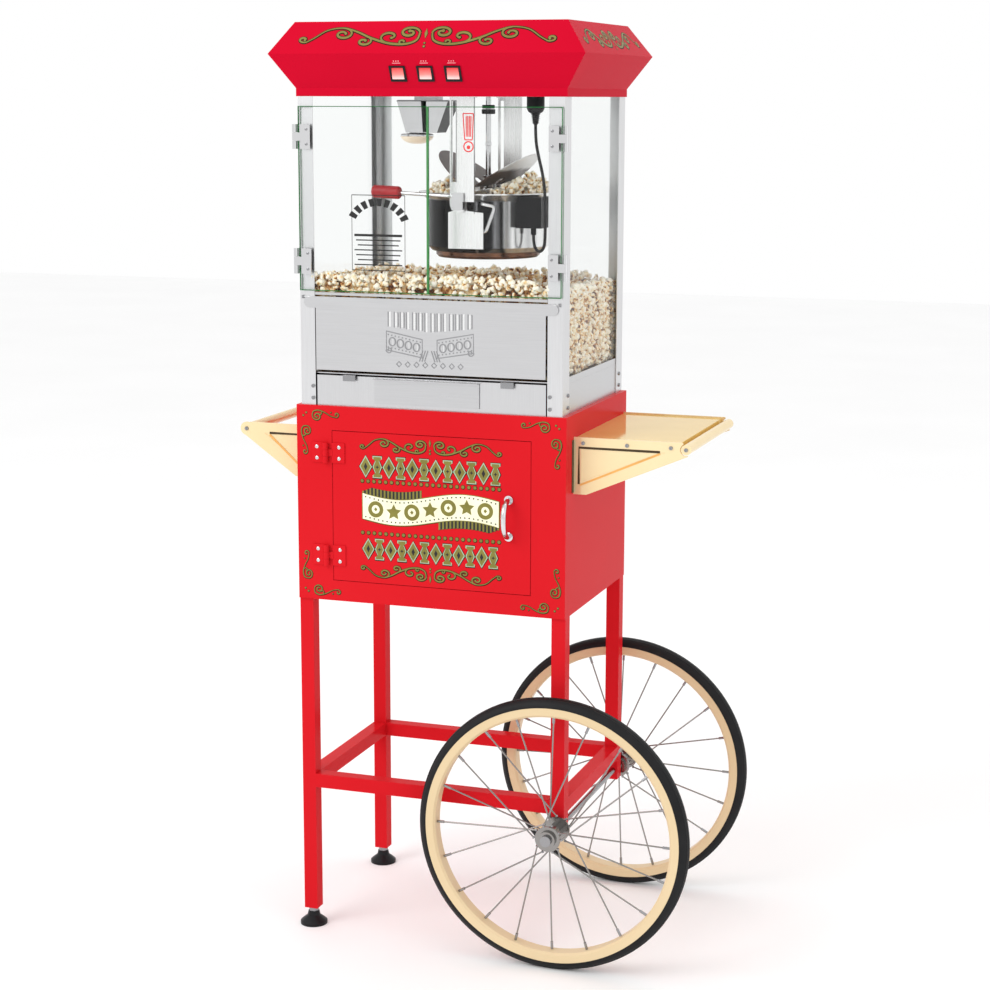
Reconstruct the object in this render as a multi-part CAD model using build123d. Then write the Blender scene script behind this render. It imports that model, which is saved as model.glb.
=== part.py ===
from build123d import *
import math
import os

# Popcorn cart: a glazed popping machine standing on a red cabinet with four legs, two spoked
# wheels, a push bar on the left and a serving shelf on the right.  Millimetres, +Z up, front at -Y.
# Everything is laid out about the cabinet's centre line and moved by CART_X when it is written,
# so that the origin is under the middle of the whole cart.

# ---- driving dimensions -------------------------------------------------------------------------
TOTAL_HEIGHT = 1549.7
TUBE = 24.0
TUBE_WALL = 1.5
CABINET_W, CABINET_D = 474.0, 357.0
CABINET_Z0, CABINET_Z1 = 590.0, 923.0
SHEET = 2.0
LEG_INSET_Y = 4.0
LEFT_LEG_Z, RIGHT_LEG_Z = 31.0, 216.0
RAIL_TOP = 277.7
WHEEL_R = 232.8
RIM_R, RIM_INNER_R = 218.5, 202.5
RIM_SHOULDER_R, RIM_WELL_R = 206.0, 211.0
RIM_HALF_W = 15.0
TRACK = 212.0
AXLE_D = 10.0
AXLE_X = 229.0
FLANGE_Y = 28.0
FLANGE_R = 21.5
SPOKES, SPOKE_D = 20, 2.6
SPOKE_LEAN = 35.0
SPOKE_OFFSET = 1.6
FOOT_R = 23.5
STEM_D = 8.0

MACHINE_W, MACHINE_D = 458.0, 349.0
MACHINE_TOP = 1431.0
SKIN = 1.5
POST_LEG = 26.0
POST_SIDE = 35.5
FLOOR_Z = 978.0
GLASS = 4.0
DOOR_GLASS = 5.0
DOOR_Z0, DOOR_Z1 = 1115.0, 1415.0
DOOR_EDGE_X = 226.0
HINGE_X, HINGE_Y = 233.5, -178.5
SILL_Z0, SILL_Z1 = 1107.5, 1112.0

SKIRT_W, SKIRT_D, SKIRT_Z = 465.0, 345.0, 1444.0
RIDGE_W, RIDGE_D, RIDGE_Z = 539.0, 400.5, 1498.6
ROCKER_X, ROCKER_PITCH = -1.0, 47.0
ROCKER_Z = 1467.0

KETTLE_X = 41.0
KETTLE_R, KETTLE_RIM_R = 103.0, 117.0
KETTLE_Z0, KETTLE_Z1 = 1177.0, 1274.6
FLARE_Z = 1262.0
PIVOT_X, PIVOT_Z = 32.0, 1259.0
LID_HINGE_Z, LID_HINGE_X = 1283.5, 6.5
LID_R = 100.0
LID_OPEN_RIGHT, LID_OPEN_LEFT = 35.0, 38.0
COUPLING_Z = 1290.0
LUG_GAP_0, LUG_GAP_1 = 68.6, 74.0

LAMP_X, BULB_X = -66.0, -87.0
SHELF_Y0, SHELF_Y1 = -137.0, 165.0
SHELF_TOP = 884.0
BAR_D, PLUG_LENGTH = 17.0, 8.0
SHELF_BAR_X, PUSH_BAR_X = 425.0, -350.0
SHELF_BAR_Z, PUSH_BAR_Z = 875.0, 870.0
BRACKET_FOOT_Z = 792.0
NOSE_R = 11.5
NOTCH_R = 10.0
CORD_D = 5.0

HALF_W, HALF_D = CABINET_W / 2, CABINET_D / 2
CASE_W, CASE_D = MACHINE_W / 2, MACHINE_D / 2
RIGHT_END, LEFT_END = AXLE_X + WHEEL_R, PUSH_BAR_X - NOSE_R
CART_X = -(RIGHT_END + LEFT_END) / 2

parts = {}


# ---- shape helpers ------------------------------------------------------------------------------
def block(x0, x1, y0, y1, z0, z1):
    """A box between two corners."""
    centre = ((x0 + x1) / 2, (y0 + y1) / 2, (z0 + z1) / 2)
    return Pos(*centre) * Box(x1 - x0, y1 - y0, z1 - z0)


def prism_y(outline, y0, y1):
    """An (x, z) outline pushed along Y."""
    plane = Plane(origin=(0, y0, 0), x_dir=(1, 0, 0), z_dir=(0, -1, 0))
    return extrude(plane * make_face(Polyline(*outline, close=True)), amount=-(y1 - y0))


def rod(start, end, diameter):
    """A round bar between two points."""
    start, end = Vector(*start), Vector(*end)
    plane = Plane(origin=start, z_dir=(end - start).normalized())
    return extrude(plane * Circle(diameter / 2), amount=(end - start).length)


def ring(start, end, outer, bore):
    """A round bar with a hole through it."""
    return rod(start, end, outer) - rod(start, end, bore)


def turned(outline, x=0.0, y=0.0, z=0.0):
    """A solid turned about a vertical axis from (radius, height) points."""
    face = Plane.XZ * make_face(Polyline(*outline, close=True))
    return Pos(x, y, z) * revolve(face, Axis.Z)


def turned_y(face_outline, x, z):
    """A solid turned about a line along Y from (radius, y) points."""
    face = Plane.XY * make_face(Polyline(*face_outline, close=True))
    return Pos(x, 0, z) * revolve(face, Axis.Y)


def slab(width, depth, z):
    """A centred rectangle at a height."""
    return Plane.XY.offset(z) * Rectangle(width, depth)


def group(*shapes):
    """Separate solids kept together in one node."""
    solids = []
    for shape in shapes:
        solids.extend(shape.solids())
    return Compound(children=solids)


def mirrored_x(shape):
    return mirror(shape, Plane.YZ)


def mirrored_y(shape):
    return mirror(shape, Plane.XZ)


def square_tube(x, y, z0, z1):
    """A vertical square tube."""
    half = TUBE / 2
    inner = half - TUBE_WALL
    outside = block(x - half, x + half, y - half, y + half, z0, z1)
    return outside - block(x - inner, x + inner, y - inner, y + inner, z0, z1)


def screw_head(x, y, z, direction):
    """A low domed screw head that stands on a surface and faces along direction."""
    plane = Plane(origin=(x, y, z), z_dir=direction)
    head = extrude(plane * Circle(3.2), amount=1.8)
    return head - extrude(plane.offset(1.2) * Rectangle(4.6, 0.9), amount=0.6)


# ---- cabinet ------------------------------------------------------------------------------------
DOOR_X0, DOOR_X1, DOOR_ZB, DOOR_ZT = -173.5, 178.0, 625.0, 882.0
PAN_DEPTH = 14.0
DOOR_HINGE_X, DOOR_HINGE_Y = -183.5, -HALF_D - 4.8
HINGE_LEVELS = ((651.0, 686.0), (827.0, 861.0))


def cabinet():
    front = block(-HALF_W, HALF_W, -HALF_D, -HALF_D + SHEET, CABINET_Z0, CABINET_Z1)
    frame_in = 5.0
    lining = block(DOOR_X0 - frame_in, DOOR_X1 + frame_in, -HALF_D + SHEET, -HALF_D + 22,
                   DOOR_ZB - frame_in, DOOR_ZT + frame_in)
    lining -= block(DOOR_X0 - frame_in + SHEET, DOOR_X1 + frame_in - SHEET, -HALF_D + SHEET,
                    -HALF_D + 22, DOOR_ZB - frame_in + SHEET, DOOR_ZT + frame_in - SHEET)
    front = front + lining - block(DOOR_X0, DOOR_X1, -HALF_D - 1, -HALF_D + SHEET, DOOR_ZB, DOOR_ZT)
    parts["cabinet_front"] = front

    side = block(HALF_W - SHEET, HALF_W, -HALF_D + SHEET, HALF_D, CABINET_Z0, CABINET_Z1)
    parts["cabinet_sides"] = group(side, mirrored_x(side))
    inside = HALF_W - SHEET
    back = block(-inside, inside, HALF_D - SHEET, HALF_D, CABINET_Z0, CABINET_Z1)
    for level in range(5):
        z = 800 + 14 * level
        back -= block(-60, 60, HALF_D - SHEET - 1, HALF_D + 1, z, z + 5)
    parts["cabinet_back"] = back
    floor = block(-inside, inside, -HALF_D + SHEET, HALF_D - SHEET, CABINET_Z0, CABINET_Z0 + SHEET)
    deck = block(-inside, inside, -HALF_D + SHEET, HALF_D - SHEET, CABINET_Z1 - SHEET, CABINET_Z1)
    parts["cabinet_floor_and_deck"] = group(floor, deck)


def cabinet_door():
    gap = 1.0
    x0, x1, z0, z1 = DOOR_X0 + gap, DOOR_X1 - gap, DOOR_ZB + gap, DOOR_ZT - gap
    pan = block(x0, x1, -HALF_D, -HALF_D + PAN_DEPTH, z0, z1)
    pan -= block(x0 + SKIN, x1 - SKIN, -HALF_D + SHEET, -HALF_D + PAN_DEPTH, z0 + SKIN, z1 - SKIN)
    parts["cabinet_door"] = pan

    x, z0, z1 = 140.0, 722.0, 783.0
    reach = -HALF_D - 28
    path = FilletPolyline((x, -HALF_D, z0), (x, reach, z0), (x, reach, z1), (x, -HALF_D, z1), radius=26)
    bow = sweep(Plane(origin=path @ 0, z_dir=path % 0) * Circle(4.5), path=path)
    feet = [rod((x, -HALF_D - 3, z), (x, -HALF_D, z), 15) for z in (z0, z1)]
    parts["cabinet_door_handle"] = bow + feet[0] + feet[1]

    fixed, moving = [], []
    for z0, z1 in HINGE_LEVELS:
        third = (z1 - z0) / 3
        face = -HALF_D
        axis = (DOOR_HINGE_X, DOOR_HINGE_Y)
        leaf = block(-209, -189, face - 2, face, z0, z1)
        for a, b in ((z0, z0 + third - 0.3), (z1 - third + 0.3, z1)):
            leaf += rod((*axis, a), (*axis, b), 9) + block(-190, -184, face - 2.5, face, a, b)
        fixed.append(leaf + rod((*axis, z0), (*axis, z1), 4))
        a, b = z0 + third, z1 - third
        flap = block(-173.2, -150, face - 2, face, z0, z1) + rod((*axis, a), (*axis, b), 9)
        flap += block(-183, -172, face - 2.7, face - 0.5, a, b)
        moving.append(flap - rod((*axis, a), (*axis, b), 4.1))
    parts["cabinet_hinge_frames"] = group(*fixed)
    parts["cabinet_door_hinges"] = group(*moving)


# ---- legs, rails, wheels and feet ---------------------------------------------------------------
LEG_X = HALF_W - TUBE / 2
LEG_Y = HALF_D - LEG_INSET_Y - TUBE / 2


def legs():
    posts = []
    for y in (-LEG_Y, LEG_Y):
        left = square_tube(-LEG_X, y, LEFT_LEG_Z + 6, CABINET_Z0)
        plug = block(-LEG_X - TUBE / 2, -LEG_X + TUBE / 2, y - TUBE / 2, y + TUBE / 2,
                     LEFT_LEG_Z, LEFT_LEG_Z + 6)
        plug -= rod((-LEG_X, y, LEFT_LEG_Z), (-LEG_X, y, LEFT_LEG_Z + 6), STEM_D + 0.1)
        right = square_tube(LEG_X, y, RIGHT_LEG_Z, CABINET_Z0)
        right -= rod((AXLE_X, y - TUBE, WHEEL_R), (AXLE_X, y + TUBE, WHEEL_R), AXLE_D)
        posts += [left + plug, right]
    parts["legs"] = group(*posts)

    low, half = RAIL_TOP - TUBE, TUBE / 2
    inner = half - TUBE_WALL
    rails = []
    for y in (-LEG_Y, LEG_Y):
        end = LEG_X - half
        tube = block(-end, end, y - half, y + half, low, RAIL_TOP)
        tube -= block(-end, end, y - inner, y + inner, low + TUBE_WALL, RAIL_TOP - TUBE_WALL)
        rails.append(tube)
    for x in (-LEG_X, LEG_X):
        end = LEG_Y - half
        tube = block(x - half, x + half, -end, end, low, RAIL_TOP)
        tube -= block(x - inner, x + inner, -end, end, low + TUBE_WALL, RAIL_TOP - TUBE_WALL)
        rails.append(tube)
    parts["lower_rails"] = group(*rails)


def wheel(side):
    """One wheel about its own centre: tyre, rim and a hub with its laced spokes."""
    w = RIM_HALF_W
    well, shoulder = RIM_WELL_R, RIM_SHOULDER_R
    bead = [(RIM_INNER_R, -11), (shoulder, -w + 0.5), (RIM_R, -w), (RIM_R, -w + 2.2), (well, -10),
            (well, 10), (RIM_R, w - 2.2), (RIM_R, w), (shoulder, w - 0.5), (RIM_INNER_R, 11)]
    rim = turned_y(bead, 0, 0)
    seat = 0.3
    crown = ThreePointArc((RIM_R + seat, -w), (WHEEL_R, 0), (RIM_R + seat, w))
    bed = Polyline((RIM_R + seat, w), (RIM_R + seat, w - 3), (well + seat, 9.2), (well + seat, -9.2),
                   (RIM_R + seat, -w + 3), (RIM_R + seat, -w))
    tyre = revolve(Plane.XY * make_face([crown, bed]), Axis.Y)

    hub = rod((0, -FLANGE_Y, 0), (0, FLANGE_Y, 0), 24)
    for sign in (-1, 1):
        hub += rod((0, sign * (FLANGE_Y - 3), 0), (0, sign * FLANGE_Y, 0), 2 * FLANGE_R)
        hub += rod((0, sign * FLANGE_Y, 0), (0, sign * (FLANGE_Y + 6), 0), 29)
    hub -= rod((0, -FLANGE_Y - 8, 0), (0, FLANGE_Y + 8, 0), AXLE_D + 0.1)
    pieces = [hub]
    for index in range(SPOKES):
        sign = 1 if index % 2 else -1
        hand = -1 if (index // 2) % 2 else 1
        outer = math.radians(index * 360 / SPOKES)
        angle = outer + math.radians(hand * SPOKE_LEAN)
        inner_r, outer_r = FLANGE_R + 1.2, RIM_INNER_R - 0.6
        start_y = sign * (FLANGE_Y - 1.5 + hand * SPOKE_OFFSET)
        start = (inner_r * math.cos(angle), start_y, inner_r * math.sin(angle))
        end = (outer_r * math.cos(outer), sign * 3.0, outer_r * math.sin(outer))
        pieces.append(rod(start, end, SPOKE_D))
    place = Pos(AXLE_X, side * TRACK, WHEEL_R)
    return place * tyre, place * rim, group(*[place * piece for piece in pieces])


def running_gear():
    for name, side in (("front", -1), ("rear", 1)):
        tyre, rim, hub = wheel(side)
        parts[f"wheel_{name}_tyre"] = tyre
        parts[f"wheel_{name}_rim"] = rim
        parts[f"wheel_{name}_hub"] = hub
        foot = turned([(0, 0), (FOOT_R, 0), (FOOT_R, 5), (19, 9), (11.5, 15), (9.5, 23.6), (0, 23.6)])
        foot += rod((0, 0, 20), (0, 0, 62), STEM_D)
        parts[f"foot_{name}"] = Pos(-LEG_X, side * LEG_Y, 0) * foot
    parts["axle"] = rod((AXLE_X, -TRACK - 40, WHEEL_R), (AXLE_X, TRACK + 40, WHEEL_R), AXLE_D)


# ---- shelf and push bar -------------------------------------------------------------------------
def bracket(wall_x, bar_x, bar_z, y0, y1, direction):
    """A stamped triangular bracket: notched round the shelf's bar, round-nosed over the push bar."""
    outline = [(wall_x, BRACKET_FOOT_Z), (wall_x, bar_z + NOSE_R),
               (bar_x - direction * 6, bar_z + NOSE_R), (bar_x + direction * 3, bar_z - NOSE_R + 0.5),
               (wall_x + direction * 22, BRACKET_FOOT_Z)]
    plate = prism_y(outline, y0, y1)
    ends = (bar_x, y0, bar_z), (bar_x, y1, bar_z)
    if direction > 0:
        plate -= rod(*ends, 2 * NOTCH_R)
    else:
        plate = plate + rod(*ends, 2 * NOSE_R) - rod(*ends, 7)
    margin = direction * 14
    emboss = [(wall_x + margin, bar_z - 6), (bar_x - 2.4 * margin, bar_z - 6),
              (wall_x + margin, BRACKET_FOOT_Z + 22)]
    outer = y0 if y0 < 0 else y1 - 0.7
    return plate - prism_y(emboss, outer, outer + 0.7)


def bar(x, z, inset):
    """A round tube from bracket to bracket, with a tapped plug in each end."""
    low, high = SHELF_Y0 + inset, SHELF_Y1 - inset
    tube = ring((x, low, z), (x, high, z), BAR_D, BAR_D - 4)
    for y0, y1 in ((low, low + PLUG_LENGTH), (high - PLUG_LENGTH, high)):
        tube += ring((x, y0, z), (x, y1, z), BAR_D - 3, 4)
    return tube


def shelf_and_push_bar():
    plates = []
    for wall, x, z, direction in ((HALF_W, SHELF_BAR_X, SHELF_BAR_Z, 1),
                                  (-HALF_W, PUSH_BAR_X, PUSH_BAR_Z, -1)):
        plates.append(bracket(wall, x, z, SHELF_Y0, SHELF_Y0 + 2.5, direction))
        plates.append(bracket(wall, x, z, SHELF_Y1 - 2.5, SHELF_Y1, direction))
    parts["side_brackets"] = group(*plates)
    parts["shelf_bar"] = bar(SHELF_BAR_X, SHELF_BAR_Z, 0.0)
    parts["push_bar"] = bar(PUSH_BAR_X, PUSH_BAR_Z, 2.6)

    lip = SHELF_BAR_X - 12
    y0, y1 = SHELF_Y0 + 2.6, SHELF_Y1 - 2.6
    tray = block(HALF_W + 0.1, lip, y0, y1, SHELF_TOP - SKIN, SHELF_TOP)
    tray += block(lip - SKIN, lip, y0, y1, SHELF_TOP - 20, SHELF_TOP)
    tray += block(HALF_W + 0.1, HALF_W + 0.1 + SKIN, y0, y1, SHELF_TOP - 24, SHELF_TOP)
    for y in (y0, y1 - SKIN):
        tray += block(HALF_W + 0.1, lip, y, y + SKIN, SHELF_TOP - 14, SHELF_TOP)
    parts["serving_shelf"] = tray


# ---- machine case -------------------------------------------------------------------------------
DRAWER_X0, DRAWER_X1 = -97.0, 87.0
DRAWER_Z0, DRAWER_Z1 = 930.0, 972.0
FLAP_AXIS_Y, FLAP_AXIS_Z = -CASE_D - 1.5, 1104.0
EAR_X, BOSS_X = 212.0, 223.4
PANEL_X = 200.5


def base():
    y = -CASE_D + 1.0
    front = block(-PANEL_X, PANEL_X, y, y + SKIN, CABINET_Z1, 974)
    front += block(-PANEL_X, PANEL_X, y, y + 14, 974 - SKIN, 974)
    front -= block(DRAWER_X0 + 2, DRAWER_X1 - 2, y - 1, y + 3, DRAWER_Z0 + 1, DRAWER_Z1 - 1)
    for x0, web in ((DRAWER_X0 + 3.5, DRAWER_X0 + 3.5), (DRAWER_X1 - 11.5, DRAWER_X1 - 5)):
        front += block(x0, x0 + 8, y, 120, DRAWER_Z0 + 0.3, DRAWER_Z0 + 1.7)
        front += block(web, web + SKIN, y, 120, CABINET_Z1, DRAWER_Z0 + 1)
    parts["base_front"] = front

    skin_x = CASE_W - SKIN - 0.1
    shell = block(skin_x - SKIN, skin_x, -170, CASE_D - SKIN - 0.1, CABINET_Z1, 972.9)
    shell += mirrored_x(shell)
    back_y = CASE_D - SKIN - 0.1
    shell += block(-skin_x, skin_x, back_y - SKIN, back_y, CABINET_Z1, 972.9)
    parts["base_shell"] = shell

    corners = []
    for sy in (-1, 1):
        front_leg = block(CASE_W - POST_LEG, CASE_W, CASE_D - SKIN, CASE_D, CABINET_Z1, MACHINE_TOP)
        side_leg = block(CASE_W - SKIN, CASE_W, CASE_D - POST_SIDE, CASE_D, CABINET_Z1, MACHINE_TOP)
        post = front_leg + side_leg
        if sy < 0:
            post = mirrored_y(post)
        corners += [post, mirrored_x(post)]
    parts["corner_posts"] = group(*corners)

    pan = block(-skin_x + SKIN, skin_x - SKIN, -169, back_y - SKIN - 0.1, FLOOR_Z - 1.5, FLOOR_Z)
    holes = [rod((0, 0, FLOOR_Z - 2), (0, 0, FLOOR_Z + 1), 9)]
    pan -= [Pos(place.position) * holes[0] for place in GridLocations(28, 28, 15, 11)]
    parts["popcorn_floor"] = pan


def channel(x0, x1, y0, y1, outer):
    """A ledge under a pane, with a lip on its outer side."""
    ledge = block(x0, x1, y0, y1, FLOOR_Z + 0.2, FLOOR_Z + 1.8)
    return ledge + outer


def glazing():
    x = CASE_W - 1.6
    side = block(x - 5.4, x - 1.4, -166, 164, FLOOR_Z + 2, MACHINE_TOP)
    rear = block(-x + 6, x - 6, 165, 165 + GLASS, FLOOR_Z + 2, MACHINE_TOP)
    parts["fixed_glass"] = group(side, mirrored_x(side), rear)

    right = channel(x - 6, x - 1.4, -166, 164, block(x - 1.4, x, -138, 138, 973, 984))
    back = channel(-x + 6, x - 6, 164.5, 171.5, block(-x + 30, x - 30, 171.5, 172.8, 973, 984))
    sill = block(-202.5, 202.5, -CASE_D, -170, SILL_Z0, SILL_Z1)
    parts["glass_channels"] = group(right, mirrored_x(right), back, sill)


def glass_doors():
    for name, flip in (("right", False), ("left", True)):
        pane = block(1.5, DOOR_EDGE_X, HINGE_Y - 2.5, HINGE_Y + 2.5, DOOR_Z0, DOOR_Z1)
        fixed, moving = [], []
        for z0, z1 in ((1142.0, 1184.0), (1346.0, 1386.0)):
            third = (z1 - z0) / 3
            axis = (HINGE_X, HINGE_Y)
            leaf = block(CASE_W, CASE_W + 1.5, HINGE_Y + 6, -150, z0, z1)
            for a, b in ((z0, z0 + third - 0.3), (z1 - third + 0.3, z1)):
                leaf += block(CASE_W, CASE_W + 1.5, HINGE_Y, -160, a, b)
                leaf += rod((*axis, a), (*axis, b), 8)
            fixed.append(leaf + rod((*axis, z0), (*axis, z1), 3.5))
            a, b = z0 + third, z1 - third
            plate = block(205, 222, HINGE_Y - 4, HINGE_Y - 2.5, z0, z1)
            plate += block(221, HINGE_X, HINGE_Y - 4, HINGE_Y - 2.6, a, b)
            plate += rod((*axis, a), (*axis, b), 8)
            moving.append(plate - rod((*axis, a), (*axis, b), 3.6))
        if flip:
            pane = mirrored_x(pane)
            fixed = [mirrored_x(leaf) for leaf in fixed]
            moving = [mirrored_x(leaf) for leaf in moving]
        parts[f"glass_door_{name}"] = pane
        parts[f"glass_door_{name}_hinges"] = group(*moving)
        parts[f"glass_hinge_frames_{name}"] = group(*fixed)
    left, right = parts.pop("glass_hinge_frames_left"), parts.pop("glass_hinge_frames_right")
    parts["glass_hinge_frames"] = group(left, right)


def flap_and_drawer():
    y0, y1 = FLAP_AXIS_Y - 0.75, FLAP_AXIS_Y + 0.75
    top, low = FLAP_AXIS_Z + 1.0, 983.0
    flap = block(-PANEL_X, PANEL_X, y0, y1, low, top)
    flap += block(-PANEL_X, PANEL_X, y0, y0 + 9, low, low + SKIN)
    for sign in (-1, 1):
        ear = rod((sign * EAR_X, y0, top - 9.5), (sign * EAR_X, y1, top - 9.5), 19)
        ear += block(*sorted((sign * 200, sign * EAR_X)), y0, y1, top - 19, top)
        flap += ear
        flap += rod((sign * EAR_X, FLAP_AXIS_Y, FLAP_AXIS_Z),
                    (sign * (BOSS_X + 1.6), FLAP_AXIS_Y, FLAP_AXIS_Z), 2)
    parts["dump_flap"] = flap

    x0, x1 = DRAWER_X0 + 3, DRAWER_X1 - 3
    y = -CASE_D
    tray = block(x0, x1, y, 110, DRAWER_Z0 + 2, DRAWER_Z1 - 4)
    tray -= block(x0 + 1.2, x1 - 1.2, y + 1.2, 108.8, DRAWER_Z0 + 3.2, DRAWER_Z1)
    face = block(DRAWER_X0, DRAWER_X1, y - 1.5, y, DRAWER_Z0, DRAWER_Z1)
    lip = block(DRAWER_X0, DRAWER_X1, y - 10, y, DRAWER_Z1 - 1.5, DRAWER_Z1)
    parts["kernel_drawer"] = tray + face + lip


# ---- canopy -------------------------------------------------------------------------------------
def canopy_solid(wall):
    """The canopy's outline, made smaller all round by wall."""
    shrink = 2 * wall
    skirt = (SKIRT_W - shrink, SKIRT_D - shrink)
    ridge = (RIDGE_W - shrink, RIDGE_D - shrink)
    low = loft([slab(*skirt, MACHINE_TOP), slab(*skirt, SKIRT_Z)], ruled=True)
    mid = loft([slab(*skirt, SKIRT_Z), slab(*ridge, RIDGE_Z)], ruled=True)
    top = loft([slab(*ridge, RIDGE_Z), slab(*skirt, TOTAL_HEIGHT - wall)], ruled=True)
    return low + mid + top


RISE = RIDGE_Z - SKIRT_Z
LEAN = (RIDGE_D - SKIRT_D) / 2
SLOPE = math.hypot(RISE, LEAN)
ROCKER_Y = -SKIRT_D / 2 - LEAN * (ROCKER_Z - SKIRT_Z) / RISE
ROCKER_THROW = 20.0
ROCKER_PIVOT_DEPTH = 3.0


def slope_plane(x):
    """Local X along the cart, local Y up the canopy's front slope, local Z out of it."""
    outward = (0, -RISE / SLOPE, -LEAN / SLOPE)
    return Plane(origin=(x, ROCKER_Y, ROCKER_Z), x_dir=(1, 0, 0), z_dir=outward)


def canopy():
    shell = canopy_solid(0) - canopy_solid(SKIN)
    bezels = []
    for index, name in enumerate(("left", "middle", "right")):
        plane = slope_plane(ROCKER_X + (index - 1) * ROCKER_PITCH)
        shell -= plane * Box(24.4, 24, 12)
        bezel = plane * Pos(0, 0, 1.05) * Box(27.5, 27, 2)
        bezel += plane * Pos(0, 0, -8) * Box(24, 23.6, 16)
        bezel -= plane * Pos(0, 0, -6) * Box(20.6, 21.8, 18.0)
        bezels.append(bezel)

        edge = 12.0
        near, far = math.tan(math.radians(8)) * edge, math.tan(math.radians(12)) * edge
        crown = 1.6
        outline = [(-edge, -5), (edge, -5), (edge, crown - near), (0, crown), (-edge, crown + far)]
        profile = make_face(Polyline(*outline, close=True))
        profile &= Pos(0, -ROCKER_PIVOT_DEPTH) * Circle(10.4)
        side_plane = Plane(origin=(-10, 0, 0), x_dir=(0, 1, 0), z_dir=(1, 0, 0))
        rocker = extrude(side_plane * profile, amount=20)
        parts[f"rocker_{name}"] = plane * rocker
    parts["canopy"] = shell
    parts["switch_bezels"] = group(*bezels)

    ceiling = block(-230.5, 230.5, -170.5, 170.5, MACHINE_TOP + 0.1, MACHINE_TOP + 1.6)
    ceiling -= rod((KETTLE_X, 0, MACHINE_TOP), (KETTLE_X, 0, MACHINE_TOP + 3), 14)
    parts["ceiling_plate"] = ceiling
    z = MACHINE_TOP + 1.7
    motor = block(KETTLE_X - 35, KETTLE_X + 35, -30, 30, z, z + 26)
    motor += rod((KETTLE_X + 12, 0, z + 26), (KETTLE_X + 12, 0, z + 70), 56)
    parts["drive_motor"] = motor - rod((KETTLE_X, 0, z), (KETTLE_X, 0, z + 14), 9.1)


# ---- lamp, kettle and its drive -----------------------------------------------------------------
def lamp():
    """A steel funnel, split down its front, with a reflector bulb below it."""
    to_bulb = Pos(-5, 0, 0)
    shield = loft([to_bulb * slab(56, 44, 1371), slab(92, 60, 1424)], ruled=True)
    shield -= loft([to_bulb * slab(53, 41, 1371), slab(89, 57, 1422.5)], ruled=True)
    shield -= block(-2.5, 6.5, -32, -15, 1370, 1420)
    shield += block(-20, 20, -15, 15, 1424, MACHINE_TOP)
    bulb = turned([(0, 1352), (12, 1353), (22, 1357), (27, 1362), (28, 1365), (28, 1368.5),
                   (10, 1369.5), (10, 1422.4), (0, 1422.4)], x=BULB_X)
    parts["lamp"] = group(Pos(LAMP_X, 0, 0) * shield, bulb)


HANDLE_Y, HANDLE_D, BAIL_D = -127.5, 6.0, 6.0
GRIP_X0, GRIP_X1, GRIP_D = -117.0, -67.0, 21.0


def handle_point(x):
    """A point on the tilting handle's line, which climbs a little towards its grip."""
    return x, HANDLE_Y, 1271 + (24 - x) / 22.5


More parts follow.
